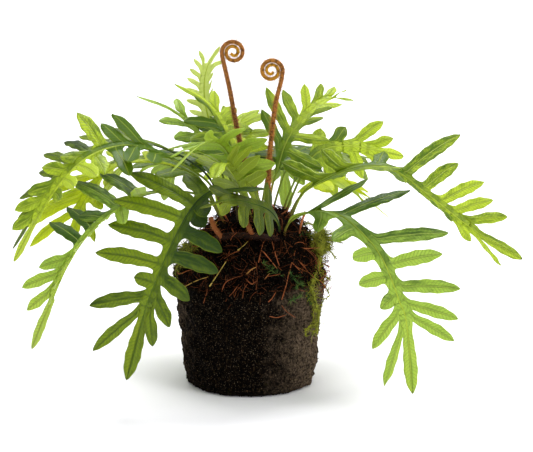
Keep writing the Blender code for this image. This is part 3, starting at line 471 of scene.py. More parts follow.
def slab(sheet, extra=0.0):
    """Box and search tree of a sheet with its thickness"""
    ribs = np.array(sheet.facts["rib"])
    half = 0.5 * (BLADE_THICKNESS + (RIB_THICKNESS - BLADE_THICKNESS) * ribs) + extra
    points, faces = thickened(np.array(sheet.points), np.array(sheet.faces), half)
    return boxed(points, faces.tolist())


def skin(rings):
    """Box and search tree of the surface through rings of points"""
    count, sides = np.shape(rings)[:2]
    quads = [(low + side, low + next_side, low + sides + next_side, low + sides + side)
             for low in range(0, (count - 1) * sides, sides)
             for side, next_side in zip(range(sides), (*range(1, sides), 0))]
    return boxed(np.reshape(rings, (-1, 3)), quads)


def tube_rings(route, radius):
    """Rings of points round a route"""
    rings = []
    for behind, place, ahead in zip([route[0], *route], route, [*route[1:], route[-1]]):
        forward = unit(ahead - behind)
        first = unit(np.cross(forward, (0.0, 1.0, 0.0)))
        second = np.cross(forward, first)
        rings.append([place + radius * (first * math.cos(angle) + second * math.sin(angle))
                      for angle in turns(TUBE_SIDES)])
    return rings


def crozier_points(crozier):
    """Places and radii along a crozier, from its foot to the middle of its coil"""
    path = Path(crozier.route)
    count = round(path.length / CROZIER_STEP)
    places = [path.at(s) for s in np.linspace(0.0, path.length, count + 1)]
    shares = np.linspace(0.0, 1.0, count + 1)
    radii = [CROZIER_RADIUS + (COIL_START_RADIUS - CROZIER_RADIUS) * share for share in shares]
    for index in range(COIL_POINTS):
        share = (index + 0.35) / (COIL_POINTS - 0.65)
        reach = COIL_INNER + COIL_OUTER * (1.0 - share) ** COIL_TIGHTENING
        angle = math.radians(crozier.start) + crozier.sense * math.tau * COIL_TURNS * share
        offset = np.array([reach * math.cos(angle), 0.0, reach * math.sin(angle)])
        places.append(np.array(crozier.centre) + offset)
        radii.append(COIL_START_RADIUS + (COIL_END_RADIUS - COIL_START_RADIUS) * share)
    return places, radii


BENDS = sorted(
    ((raised, turned, scale) for scale in (1.0, 0.85, 0.7, 0.5)
     for raised in (0, 8, -8, 16, -16, 26, -26, 38, -38) for turned in (0, 25, -25)),
    key=lambda bend: abs(bend[0]) + 0.4 * abs(bend[1]) + 60.0 * (1.0 - bend[2]))


def mound_profile():
    """Radius and height of the root mound, from its top to its foot"""
    radii = (0.0, 20.0, 33.0, 44.0, 52.0, 57.0, 59.0, 58.0)
    drops = (0.0, 3.0, 9.0, 18.0, 30.0, 43.0, 54.0, MOUND_HEIGHT)
    return [(radius, BLOCK_HEIGHT + MOUND_HEIGHT - drop) for radius, drop in zip(radii, drops)]


def mound_lean(height):
    """How far right the mound's middle is at a height"""
    return MOUND_LEAN * (height - BLOCK_HEIGHT) / MOUND_HEIGHT


def keep_out():
    """What the lobes stay clear of: the root ball with a margin, and the croziers"""
    rings = [[((radius + KEEP_OUT_MARGIN) * math.cos(angle) + mound_lean(max(height, BLOCK_HEIGHT)),
               (radius + KEEP_OUT_MARGIN) * math.sin(angle), height) for angle in turns(KEEP_OUT_SIDES)]
             for radius, height in [*mound_profile(), (BLOCK_TOP_RADIUS, BLOCK_HEIGHT),
                                    (BLOCK_FOOT_RADIUS, 0.0)]]
    tubes_round = [tube_rings(crozier_points(crozier)[0], CROZIER_RADIUS + BLADE_CLEARANCE)
                   for crozier in CROZIERS]
    return [skin(rings), *map(skin, tubes_round)]


def is_clear(placed, low, high, tree):
    """True where the thing in the box from low to high meets nothing that is placed"""
    return not any(np.all(low < other_high) and np.all(other_low < high) and tree.overlap(other)
                   for other_low, other_high, other in placed)


def bent_lobes():
    """Every lobe, bent, turned and shortened just so far that it clears the rest"""
    paths = [Path(frond.route) for frond in FRONDS]
    placed = keep_out() + [slab(rib_sheet(*pair), RIB_MARGIN) for pair in zip(FRONDS, paths)]
    found = {}
    for frond, path in zip(FRONDS, paths):
        marks = stations(frond, path)
        for index in range(len(frond.left)):
            for side in (1, -1):
                middle = marks[2 * index + 1 + (frond.shift if side < 0 else 0)]
                for bend in BENDS:
                    lobe = Lobe(frond, path, middle, side, index, bend)
                    if is_clear(placed, *slab(lobe.sheet(LOBE_MARGIN), BLADE_CLEARANCE)):
                        placed.append(slab(lobe.sheet()))
                        found[frond.name, side, index] = lobe
                        break
    return found


# Fine blades. A lobe's shape is where it is widest, and how sharply it narrows from there
COLUMNS = np.array([-1.0, -0.82, -0.6, -0.36, -0.14, 0.0, 0.14, 0.36, 0.6, 0.82, 1.0])
WEB_SHARES = (0.0, 0.3, 0.65, 1.0)
SHORT_SHAPE = (0.45, 2.6)
LONG_SHAPE = (0.55, 2.2)
LOBE_ROUNDING = 0.75
TIP_WAIST = 0.6
TIP_POWER = 2.2
SINUS_RADIUS = 3.0
SINUS_STEPS = 4
LOBE_STEPS = 20
TIP_STEPS = 20
LINE_STEPS = 40
STEP_CROWDING = 1.25
RIM_THINNING = 0.35
FINE_THICKNESS = 0.4
EDGE_WAVE = 0.055
WAVE_LENGTH = 12.0
FLUTTER = 0.55
CREASE = 0.35
CURL = 1.6
FLUTTER_LENGTH = 1.3 * WAVE_LENGTH
FLUTTER_SHIFT = 1.7
TAPER_RUN = 16.0
TAPER_ROWS = 5
TAPER_START = 0.3
WEB_TONE = 0.5

# How much lighter a frond is on its left, on its right, at the crown and at its end
SIDE_TONES = {
    "front_left": (-0.4, 0.1, -0.3, 0.5), "front_right": (0.0, 0.2, 0.0, 0.2),
    "left_arch": (0.5, -0.4, -1.2, 0.8), "right_arch": (-0.2, 0.0, 0.3, -0.5),
    "left_low": (1.2, -0.1, -0.2, 0.9), "left_back": (-0.3, 0.2, 0.0, 0.0),
    "centre_left": (0.9, 0.6, 0.0, 0.0), "centre_star": (-0.3, -0.3, -0.5, 0.1),
    "back_right": (-0.1, -0.1, -0.5, 0.3), "right_back": (0.0, 0.0, -0.3, 0.3),
    "back_left_high": (-0.5, 0.3, 0.0, 0.0), "back_centre": (-0.3, 0.5, 0.0, 0.0),
    "front_centre": (-0.4, -0.4, 0.0, 0.0),
    # The back fronds are darker as painted shade
    **{name: (-0.7, -0.7, 0.0, 0.0) for name, *_ in BACK_FRONDS},
}

# How much lighter single lobes are, by frond and side, where 1 is left, and then by number
LOBE_TONES = {
    ("left_arch", 1): {0: -0.9, 1: -0.9, 2: -0.6, 6: -1.3, 7: -1.3},
    ("left_arch", -1): {2: 1.1, 3: -0.3, 5: -0.5, 6: -0.8, 7: -0.8},
    ("left_low", 1): {1: -0.6},
    ("left_low", -1): {3: -1.3, 4: -1.2},
    ("left_back", -1): {1: 0.3, 2: -0.6, 3: -0.6, 4: -0.4},
    ("front_left", 1): {4: -0.8, 5: 0.3, 7: 0.5},
    ("front_right", 1): {2: 0.1, 3: 0.8},
    ("front_right", -1): {0: 0.5},
}

# Fine stalks: thickness at the foot, at the first and the last station and at the end
STEM_SIDES = 8
STEM_STEP = 3.0
STEM_THICKNESS = (1.2, 0.85, 0.4, 0.2)

# Root ball, with how far each roughness pushes and its size
BLOCK_COLUMNS = 200
BLOCK_ROWS = 90
MOUND_COLUMNS = 150
MOUND_ROWS = 70
CRUMB_SIZE = 0.75
MOUND_SWELL = (1.0, 1.0, 1.0, 1.0, 1.01, 1.05, 1.08, 1.1)
BLOCK_NOISES = ((BLOCK_ROUGHNESS, BLOCK_GRAIN), (1.6, 5.0), (0.9, 2.2))
MOUND_NOISES = ((MOUND_ROUGHNESS, MOUND_GRAIN), (2.5, 5.0), (1.2, 2.0))
MOUND_SINK = 1.5
CRUMB_DENSITY = 70000.0
CRUMB_SEED = 3
CRUMB_SIZES = ((0.4, 0.4, 0.4), (1.9, 1.1, 0.9))
THREAD_SIDES = 5
ROOT_TAPER = 0.6
ROOT_LIFT = 1.4
ROOT_THREADS = 400
HANGING_THREADS = 110
CROWN_THREADS = 80
EDGE_ROOTS = 130
THREAD_POINTS = 15

# Ranges and choices that the random roots are drawn from, with angles in radians
THREAD_RISES = (0.05, 1.35)
THREAD_RISE_LIMITS = (0.03, 1.45)
THREAD_THICKNESSES = (0.2, 0.2, 0.25, 0.3, 0.4, 0.5)
THREAD_STEPS = (0.03, 0.07)
THREAD_BENDS = (0.15, 0.3, 0.6)
THREAD_BOWS = (1.5, 2.5, 4.5)
THREAD_WAVE = 0.6
THREAD_LIFT = 1.2
SHORT_THREAD_THICKNESSES = (0.2, 0.25, 0.35)
HANGING_THICKNESSES = (0.15, 0.2, 0.25)
HANGING_STEPS = 8
HANGING_START = 9.0
HANGING_REACH = 16.0
HANGING_SWAY = 0.35
HANGING_RADIUS = 60.0
HANGING_BULGE = 4.5
CROWN_RADIUS = 34.0
CROWN_LENGTHS = (9.0, 21.0)
CROWN_BOWS = (1.0, 6.0)
CROWN_SAG = 5.0
EDGE_BEARINGS = (-0.8, 0.5)
EDGE_LEVELS = (BLOCK_HEIGHT - 6.0, BLOCK_HEIGHT + 34.0)
EDGE_RADIUS = 63.0
EDGE_RADIUS_SPREAD = (-3.0, 4.0)
EDGE_TURNS = (1.2, 3.6)
EDGE_CURLS = (3.0, 9.0)
EDGE_OPENINGS = (0.0, 6.0)


# Loose roots and straws in front: thickness, tone, and the x and z of the points that each passes, as the
# camera sees them on the front plane. Each is laid on the root ball, or on the crown plane above it.
FRONT_PLANE = -60.0
CROWN_PLANE = -34.0
FRONT_ROOTS = (
    (0.40, 1.25, ((-52, 96), (-42, 101), (-33, 104))),
    (0.50, 1.60, ((-32, 96), (-24, 108), (-17, 119))),
    (0.50, 1.45, ((-9, 126), (-5, 129), (0, 134))),
    (0.35, 0.70, ((-7, 126), (-14, 123), (-20, 119))),
    (0.50, 0.65, ((-35, 103), (-34, 93), (-37, 82))),
    (0.40, 0.75, ((-22, 92), (-19, 99), (-12, 103), (-5, 105))),
    (0.60, 1.15, ((-2, 106), (2, 110), (6, 112))),
    (0.45, 0.85, ((11, 126), (16, 120), (23, 111))),
    (0.45, 0.95, ((19, 133), (22, 122), (25, 113))),
    (0.40, 0.80, ((8, 116), (10, 125), (12, 133))),
    (0.35, 0.60, ((6, 116), (7, 103), (6, 93))),
    (0.55, 0.95, ((27, 85), (30, 95), (33, 108), (38, 126))),
    (0.50, 0.90, ((42, 116), (47, 110), (52, 101))),
    (0.40, 0.80, ((35, 116), (40, 111), (46, 104))),
    (0.45, 0.85, ((16, 83), (19, 86), (22, 91))),
    (0.30, 0.80, ((17, 71), (23, 70), (30, 72))),
    (0.30, 0.75, ((27, 80), (31, 75), (38, 70))),
    (0.35, 0.60, ((-5, 86), (-4, 93), (-1, 98))),
    (0.35, 1.10, ((13, 102), (17, 107))),
    (1.10, 1.00, ((46, 158), (43, 149), (41, 140))),
    (0.90, 0.90, ((-22, 160), (-17, 151), (-11, 138))),
)

# Creeping stem
RHIZOME_ROWS = 24
RHIZOME_SIDES = 14
RHIZOME_TONE = 0.2
STUB_TONE = 0.85
RHIZOME_SHARE = 0.86
RHIZOME_RING = 0.08
RHIZOME_RING_TURN = 1.1
RHIZOME_END = 0.6

# Croziers: room for the fur, and the tone at the foot, in the middle and at the rolled tip
CROZIER_ROWS = 150
CROZIER_SIDES = 12
FUR_ROOM = 0.1
COIL_END = 0.5
CROZIER_TONES = {"crozier_left": (0.4, 0.7, 1.3), "crozier_right": (1.0, 0.95, 1.3)}

# Moss cushions and the loose strands of each shade, given as the loose roots are
MOSS_CORE = 19.0
MOSS_SHRINK = 0.7
SPRIG_LEVEL = 104.0
STRAND_RADIUS = 0.4
STRAND_LIFT = 1.6
STRAND_TONE = 0.8
MOSS_PLANE = -8.0
MOSS_STRANDS = {
    "dark_moss": (((33, 109), (36, 105), (42, 104)), ((42, 101), (45, 95), (48, 87), (51, 81)),
                  ((39, 98), (39, 93)), ((34, 84), (39, 86), (43, 88)), ((11, 116), (21, 108), (27, 105)),
                  ((41, 138), (48, 141), (55, 134)), ((36, 103), (40, 99), (44, 97))),
    "moss": (((51, 85), (53, 77), (53, 70), (56, 57)), ((53, 77), (57, 74)), ((53, 64), (47, 60), (47, 54)),
             ((58, 108), (60, 101), (64, 93), (66, 88), (61, 85), (59, 80)), ((62, 105), (67, 101)),
             ((44, 149), (52, 147), (58, 143)), ((56, 132), (64, 138), (69, 141)),
             ((60, 135), (65, 131), (66, 125))),
}

# Strands that grow on a surface: how many a square metre, length, thickness, slant, bow and seed
Tuft = namedtuple("Tuft", "density length radius slant bow seed")

TUFT_SIDES = 3
TUFT_END = 0.15
TUFT_SIZES = (0.55, 1.25)
TUFT_TURN = 3.1
TUFT_OWN_TONE = 0.7
TUFT_TONE_SPREAD = 0.7
ROOT_FUZZ = Tuft(90000.0, 9.0, 0.15, 1.2, 4.0, 5)
FUR = Tuft(1400000.0, 2.3, 0.11, 0.55, 0.5, 2)
SCALES = Tuft(350000.0, 2.0, 0.12, 1.0, 1.2, 4)
STRAND_LEAVES = Tuft(1500000.0, 3.8, 0.26, 1.2, 1.5, 9)
CUSHION_TOP = Tuft(480000.0, 7.0, 0.21, 1.2, 3.5, 0)
CUSHION_FOOT = Tuft(600000.0, 6.5, 0.24, 1.2, 3.25, 0)

# Shade, light, glow and rib colours, where the glow also paints light that comes through, how much darker
# towards the crown, partly as painted shade, how much light comes through, gloss
LEAVES = {
    "deep_leaf": ((0.016, 0.048, 0.003), (0.205, 0.295, 0.008), (0.38, 0.48, 0.012), (0.06, 0.11, 0.006),
                  0.1, 0.32, 0.25),
    "leaf_leaf": ((0.016, 0.070, 0.003), (0.430, 0.620, 0.075), (0.60, 0.74, 0.09), (0.56, 0.68, 0.12),
                  0.6, 0.38, 0.32),
    "bright_leaf": ((0.045, 0.120, 0.002), (0.590, 0.730, 0.045), (0.72, 0.83, 0.07), (0.62, 0.70, 0.09),
                    0.5, 0.42, 0.32),
    "yellow_leaf": ((0.250, 0.370, 0.008), (0.680, 0.770, 0.035), (0.80, 0.87, 0.07), (0.70, 0.76, 0.12),
                    0.1, 0.5, 0.3),
    "olive_leaf": ((0.040, 0.074, 0.003), (0.270, 0.340, 0.010), (0.44, 0.49, 0.02), (0.34, 0.38, 0.03),
                   0.1, 0.34, 0.3),
    "pale_leaf": ((0.560, 0.680, 0.160), (0.760, 0.850, 0.300), (0.84, 0.90, 0.40), (0.80, 0.86, 0.38),
                  0.0, 0.5, 0.3),
}

# Colours of a stalk at its foot, in the middle and at the end
STALKS = {
    "dark_stalk": ((0.060, 0.020, 0.010), (0.022, 0.045, 0.007), (0.09, 0.15, 0.015)),
    "light_stalk": ((0.13, 0.045, 0.018), (0.15, 0.21, 0.018), (0.42, 0.52, 0.05)),
}

# Dark and light colours of the peat, and how much of the painted light on its right and at its left edge
# shows
PEATS = {
    "peat": ((0.0005, 0.0003, 0.0002), (0.028, 0.017, 0.008), 0.95),
    # The mound's soil is nearly black: partly its own dark soil, partly painted shade among its fibres
    "root_soil": ((0.0003, 0.0002, 0.0001), (0.005, 0.0025, 0.0012), 0.1),
}
# Dark and light colours of the painted light that makes the peat paler on its right and at its left edge
PAINTED_LIGHT_DARK = (0.009, 0.006, 0.004)
PAINTED_LIGHT_BRIGHT = (0.175, 0.124, 0.082)
FLECK_COLOUR = (0.17, 0.13, 0.085)
CRUMB_COLOUR = (0.11, 0.065, 0.035)

# Dark, light and bright colours, gloss, size and strength of the dark patches, tone where light begins
THREADS = {
    "roots": ((0.0030, 0.0012, 0.0007), (0.42, 0.130, 0.048), (0.62, 0.46, 0.11), 0.03, 90.0, 0.5, 0.3),
    "bark": ((0.012, 0.005, 0.003), (0.30, 0.095, 0.028), (0.30, 0.10, 0.03), 0.15, 90.0, 0.5, 0.1),
    "young_skin": ((0.035, 0.012, 0.005), (0.32, 0.12, 0.024), (0.60, 0.31, 0.012), 0.15, 420.0, 0.85, 0.1),
    "fur": ((0.060, 0.020, 0.009), (0.56, 0.27, 0.09), (0.68, 0.38, 0.03), 0.15, 420.0, 0.7, 0.1),
    "moss": ((0.007, 0.017, 0.003), (0.42, 0.44, 0.035), (0.60, 0.52, 0.06), 0.2, 300.0, 0.8, 0.1),
    "dark_moss": ((0.005, 0.016, 0.004), (0.055, 0.130, 0.025), (0.20, 0.26, 0.03), 0.2, 300.0, 0.3, 0.1),
}

# Studio: each lamp's name, the side that it shines from, its power and its softness
FLOOR_REACH = 40.0
FLOOR_COLOUR = (0.955, 0.95, 0.985, 1.0)
AMBIENT = 0.72
LAMPS = (("sky", (-0.05, 0.5, 1.0), 3.0, 36.0), ("window", (0.9, -0.6, 0.8), 1.4, 30.0))
SENSOR_WIDTH = 36.0
PHOTO_WIDTH = 533.0


def smooth(low, high, value):
    """Eased step from 0 at low to 1 at high"""
    share = np.clip((value - low) / (high - low), 0.0, 1.0)
    return share * share * (3.0 - 2.0 * share)


def lobe_width(share, short):
    """Share of a lobe's full half width at a share of its length"""
    waist, power = SHORT_SHAPE if short else LONG_SHAPE
    rising = 0.8 + 0.2 * smooth(0.08, waist, share)
    falling = (1.0 - np.clip((share - waist) / (1.0 - waist), 0.0, 1.0) ** power) ** LOBE_ROUNDING
    return np.minimum(rising, falling)


def tip_width(frond, share):
    """Half width of the frond's end at a share of its length"""
    widest = 0.5 * TIP_WIDTH * frond.width * 0.92
    rising = WEB_HALF_WIDTH * 0.8 + (widest - WEB_HALF_WIDTH * 0.8) * smooth(0.05, TIP_WAIST, share)
    falling = widest * (1.0 - np.clip((share - TIP_WAIST) / 0.4, 0.0, 1.0) ** TIP_POWER) ** LOBE_ROUNDING
    return np.minimum(rising, falling)


def side_tone(frond, side, growth):
    """How much lighter a frond is on one side, at a share of its length"""
    left, right, crown, end = SIDE_TONES.get(frond.name, (0.0, 0.0, 0.0, 0.0))
    return (left if side > 0 else right) + crown + (end - crown) * growth


def add_lobe(blade, frond, lobe, number, row, draw):
    """Grow one lobe from a row of web points"""
    table = lobe.line()
    grid = np.linspace(0.0, 1.0, len(table))
    reach = lobe.reach
    tone = (draw.random() + side_tone(frond, lobe.side, lobe.growth)
            + LOBE_TONES.get((frond.name, lobe.side), {}).get(number, 0.0))
    phases = [draw.uniform(0.0, math.tau) for _ in range(3)]
    curl = draw.uniform(-0.4, 1.0) * CURL
    foot = min(WEB_HALF_WIDTH / (reach * max(math.sin(lobe.angle), 0.35)), 0.4)

    def on_lobe(share, column):
        """A point of the lobe's own surface"""
        place, aside, above = np.array([np.interp(share, grid, line) for line in table.T]).reshape(3, 3)
        behind = column < 0
        wave = 1.0 + EDGE_WAVE * math.sin(math.tau * share * reach / WAVE_LENGTH + phases[0 if behind else 1])
        width = lobe.half * float(lobe_width(share, lobe.short)) * (1.0 - lobe.crowding(share)) * wave
        flutter = math.tau * share * reach / FLUTTER_LENGTH + phases[2] + (FLUTTER_SHIFT if behind else 0.0)
        lift = -LOBE_CUP * lobe.half * column ** 2 + FLUTTER * abs(column) ** 2 * math.sin(flutter) * share
        lift -= CREASE * math.exp(-(column / 0.1) ** 2) * (1.0 - share) + curl * share ** 3
        return place + unit(aside) * width * column + unit(above) * lift

    starts = [blade.points[i] for i in row]
    steps = []
    for step in range(1, SINUS_STEPS + 1):
        turn = 0.5 * math.pi * step / SINUS_STEPS
        out = SINUS_RADIUS * (1.0 - math.cos(turn))
        steps.append((foot + out / reach, math.sin(turn), out, WEB_HALF_WIDTH + out))
    first = foot + SINUS_RADIUS / reach
    rises = 1.0 - (1.0 - np.arange(1, LOBE_STEPS) / LOBE_STEPS) ** STEP_CROWDING
    steps += [(share, 1.0, 0.0, share * reach) for share in first + (1.0 - first) * rises]
    for share, spread, out, along in steps:
        next_row = [blade.point((1.0 - spread) * (start + out * lobe.away) + spread * on_lobe(share, column),
                                across=column, along=along, growth=lobe.growth, tone=tone,
                                edge=abs(column) * spread)
                    for start, column in zip(starts, COLUMNS)]
        blade.strip(row, next_row)
        row = next_row
    blade.fan(row, blade.point(on_lobe(1.0, 0.0), along=reach, growth=lobe.growth, tone=tone, edge=1.0))


def blade_side(frond, path, found, side, draw):
    """One side of a frond's blade as a mesh with a thickness"""
    blade = Sheet("across", "along", "growth", "tone", "edge")
    marks = stations(frond, path)
    shift = frond.shift if side < 0 else 0
    numbers = {2 * index + shift: index for index in range(len(frond.left))}
    rows = []

    def join(row):
        """Join a row of points from the rib out to the row before, and give its outer point"""
        if rows:
            blade.strip(row, rows[-1])
        rows.append(row)
        return row[-1]

    def web_row(s, across):
        """A row of the web at distance s"""
        half = float(np.interp(s, [marks[0] - TAPER_RUN, marks[0], marks[1]],
                               [TAPER_START, WEB_HALF_WIDTH * FIRST_WEB_SHARE, WEB_HALF_WIDTH]))
        growth = s / path.length
        return join([blade.point(beside(frond, path, s, side, half * share), across=across,
                                 along=half * share, growth=growth,
                                 tone=WEB_TONE + side_tone(frond, side, growth)) for share in WEB_SHARES])

    for s in np.linspace(marks[0] - TAPER_RUN, marks[0], TAPER_ROWS + 1)[:-1]:
        web_row(s, 0.5)
    mark = 0
    while mark < len(marks) - 1:
        number = numbers.get(mark)
        span = 1 if number is None else 2
        low, high = marks[mark], marks[mark + span]
        edge_row = [web_row(low + (high - low) * 0.5 * (column + 1.0), 0.5 if number is None else column)
                    for column in (np.linspace(-1.0, 1.0, 4) if number is None else COLUMNS)]
        if (frond.name, side, number) in found:
            add_lobe(blade, frond, found[frond.name, side, number], number, edge_row, draw)
        mark += span
    run = path.length - marks[-1]
    facts = {"growth": 1.0, "tone": WEB_TONE + side_tone(frond, side, 1.0)}
    for step in range(1, TIP_STEPS):
        share = 1.0 - (1.0 - step / TIP_STEPS) ** STEP_CROWDING
        half = float(tip_width(frond, share))
        half *= 1.0 + EDGE_WAVE * math.sin(math.tau * share * run / WAVE_LENGTH)
        s = marks[-1] + share * run
        join([blade.point(beside(frond, path, s, side, half * part, False), across=part, along=share * run,
                          edge=part, **facts) for part in WEB_SHARES])
    blade.fan(rows[-1], blade.point(path.at(path.length), along=run, edge=1.0, **facts))
    faces = np.array(blade.faces)[:, ::side]
    half = 0.5 * FINE_THICKNESS * (1.0 - RIM_THINNING * np.array(blade.facts["edge"]))
    points, triangles = thickened(np.array(blade.points), faces, half)
    facts = {name: np.tile(values, 2) for name, values in blade.facts.items()}
    facts["under"] = np.repeat([0.0, 1.0], len(half))
    return make_mesh(frond.name, points, [], triangles.tolist(), facts)


def set_fact(mesh, fact, values):
    """Write a number of a fact at each point of a mesh"""
    layer = mesh.attributes.new(fact, "FLOAT", "POINT")
    layer.data.foreach_set("value", np.asarray(values, dtype=np.float32))


def make_mesh(name, points, edges, faces, facts):
    """A smooth mesh in metres with a number of each fact at each point"""
    mesh = bpy.data.meshes.new(name)
    mesh.from_pydata((np.asarray(points) * MM).tolist(), edges, faces)
    for fact, values in facts.items():
        set_fact(mesh, fact, values)
    mesh.polygons.foreach_set("use_smooth", [True] * len(mesh.polygons))
    return mesh


def node(tree, kind, inputs=None, **settings):
    """Add a node to a tree, set it and wire or fill its inputs"""
    made = tree.nodes.new(kind)
    for name, value in settings.items():
        setattr(made, name, value)
    for key, value in (inputs or {}).items():
        if isinstance(value, bpy.types.NodeSocket):
            tree.links.new(value, made.inputs[key])
        else:
            made.inputs[key].default_value = value
    return made


def growth_tree(name, **inputs):
    """An empty geometry tree with the named inputs, between a geometry and a material, and a geometry out"""
    tree = bpy.data.node_groups.new(name, "GeometryNodeTree")
    for socket, kind in {"Geometry": "Geometry", **inputs, "Material": "Material"}.items():
        tree.interface.new_socket(name=socket, in_out="INPUT", socket_type="NodeSocket" + kind)
    tree.interface.new_socket(name="Geometry", in_out="OUTPUT", socket_type="NodeSocketGeometry")
    return tree, node(tree, "NodeGroupInput").outputs


def close_tree(tree, geometry, given):
    """End a tree: instances made real, smooth shading and the material"""
    real = node(tree, "GeometryNodeRealizeInstances", {"Geometry": geometry}).outputs["Geometry"]
    soft = node(tree, "GeometryNodeSetShadeSmooth", {"Geometry": real}).outputs["Geometry"]
    dressed = node(tree, "GeometryNodeSetMaterial", {"Geometry": soft, "Material": given["Material"]})
    node(tree, "NodeGroupOutput", {"Geometry": dressed.outputs["Geometry"]})
    return tree


def own(tree, name):
    """What an attribute of the geometry says"""
    return node(tree, "GeometryNodeInputNamedAttribute", {"Name": name}, data_type="FLOAT").outputs[0]


def vectors(tree, operation, first, second, third=(0.0, 0.0, 0.0)):
    """The outcome of one sum of vectors"""
    return node(tree, "ShaderNodeVectorMath", {0: first, 1: second, 2: third}, operation=operation).outputs[0]


def chance(tree, given, low, high, kind="FLOAT"):
    """A random number or vector for each instance"""
    first = 2 if kind == "FLOAT" else 0
    return node(tree, "FunctionNodeRandomValue", {first: low, first + 1: high, "Seed": given["Seed"]},
                data_type=kind).outputs[first // 2]


def tube_along(tree, given, line, radius, unit_radius):
    """A capped round tube along a curve"""
    sized = node(tree, "GeometryNodeSetCurveRadius", {"Curve": line, "Radius": radius}).outputs["Curve"]
    ring = node(tree, "GeometryNodeCurvePrimitiveCircle",
                {"Resolution": given["Sides"], "Radius": unit_radius}).outputs["Curve"]
    return node(tree, "GeometryNodeCurveToMesh",
                {"Curve": sized, "Profile Curve": ring, "Scale": radius, "Fill Caps": True}).outputs["Mesh"]


def spread_places(tree, given):
    """Random places on the surface"""
    return node(tree, "GeometryNodeDistributePointsOnFaces",
                {"Mesh": given["Geometry"], "Density": given["Density"], "Seed": given["Seed"]}).outputs


def place_things(tree, given, places, thing, turn, size, tone):
    """End a tree with a thing at each place, turned, sized and toned in its own way"""
    placed = node(tree, "GeometryNodeInstanceOnPoints",
                  {"Points": places["Points"], "Instance": thing, "Rotation": turn, "Scale": size})
    marked = node(tree, "GeometryNodeStoreNamedAttribute",
                  {"Geometry": placed.outputs["Instances"], "Name": "tone", "Value": tone},
                  data_type="FLOAT", domain="INSTANCE")
    return close_tree(tree, marked.outputs["Geometry"], given)


def stem_tree():
    """Round stems along wires, as thick as the wire's own thickness says"""
    tree, given = growth_tree("stems", Sides="Int")
    line = node(tree, "GeometryNodeMeshToCurve", {"Mesh": given["Geometry"]}).outputs["Curve"]
    return close_tree(tree, tube_along(tree, given, line, own(tree, "thickness"), MM), given)


def tuft_tree():
    """Short tapered strands that stand on a surface at a slant"""
    tree, given = growth_tree("tufts", Density="Float", Length="Float", Radius="Float", Slant="Float",
                              Bow="Float", Seed="Int", Sides="Int")
    places = spread_places(tree, given)
    top = node(tree, "ShaderNodeCombineXYZ", {"X": given["Bow"], "Z": given["Length"]}).outputs[0]
    middle = vectors(tree, "MULTIPLY", top, (-0.1, 0.0, 0.55))
    arc = node(tree, "GeometryNodeCurveQuadraticBezier",
               {"Resolution": 3, "Start": (0.0, 0.0, 0.0), "Middle": middle, "End": top}).outputs["Curve"]
    part = node(tree, "GeometryNodeSplineParameter").outputs["Factor"]
    thin = node(tree, "ShaderNodeMapRange",
                {"Value": part, "To Min": 1.0, "To Max": TUFT_END}).outputs["Result"]
    strand = tube_along(tree, given, arc, times(tree, thin, given["Radius"]), 1.0)
    low, high = (vectors(tree, "MULTIPLY_ADD", (way, way, 0.0), given["Slant"], (0.0, 0.0, TUFT_TURN * way))
                 for way in (-1.0, 1.0))
    lean = chance(tree, given, low, high, "FLOAT_VECTOR")
    stand = node(tree, "FunctionNodeRotateRotation", {"Rotation": places["Rotation"], "Rotate By": lean},
                 rotation_space="LOCAL").outputs["Rotation"]
    tone = times(tree, own(tree, "tone"), TUFT_OWN_TONE, chance(tree, given, 0.0, TUFT_TONE_SPREAD))
    return place_things(tree, given, places, strand, stand, chance(tree, given, *TUFT_SIZES), tone)


def crumb_tree():
    """Small crumbs that sit half sunk in a surface"""
    tree, given = growth_tree("crumbs", Density="Float", Size="Float", Seed="Int")
    ball = node(tree, "GeometryNodeMeshIcoSphere", {"Radius": given["Size"], "Subdivisions": 1})
    turn = chance(tree, given, (0.0, 0.0, 0.0), (6.3, 6.3, 6.3), "FLOAT_VECTOR")
    size = chance(tree, given, *CRUMB_SIZES, "FLOAT_VECTOR")
    return place_things(tree, given, spread_places(tree, given), ball.outputs["Mesh"], turn, size,
                        chance(tree, given, 0.0, 1.0))


def grown(source, tree, values):
    """The plain mesh that a tree makes from a source mesh"""
    carrier = bpy.data.objects.new("carrier", source)
    bpy.context.scene.collection.objects.link(carrier)
    modifier = carrier.modifiers.new("Growth", "NODES")
    modifier.node_group = tree
    for socket in tree.interface.items_tree:
        if socket.in_out == "INPUT" and socket.name in values:
            modifier[socket.identifier] = values[socket.name]
    graph = bpy.context.evaluated_depsgraph_get()
    mesh = bpy.data.meshes.new_from_object(carrier.evaluated_get(graph))
    carrier.modifiers.clear()
    bpy.data.objects.remove(carrier)
    return mesh


def tubes(lines, sides, material, fact="tone"):
    """Round stems along lines, each given as its points, its thickness and its tone or other fact"""
    edges = []
    start = 0
    for line, _, _ in lines:
        edges += [(i, i + 1) for i in range(start, start + len(line) - 1)]
        start += len(line)
    facts = {name: np.concatenate([np.broadcast_to(line[number], len(line[0])) for line in lines])
             for number, name in ((1, "thickness"), (2, fact))}
    wire = make_mesh("wire", np.vstack([line for line, _, _ in lines]), edges, [], facts)
    return grown(wire, STEMS, {"Sides": sides, "Material": material})


def tufted(mesh, tuft, material):
    """Tapered strands all over a mesh"""
    return grown(mesh.copy(), TUFTS, {"Density": tuft.density, "Length": tuft.length * MM,
                                      "Radius": tuft.radius * MM, "Slant": tuft.slant, "Bow": tuft.bow * MM,
                                      "Seed": tuft.seed, "Sides": TUFT_SIDES, "Material": material})


def linked(name, data):
    """An object with this data, in the scene"""
    thing = bpy.data.objects.new(name, data)
    bpy.context.scene.collection.objects.link(thing)
    return thing


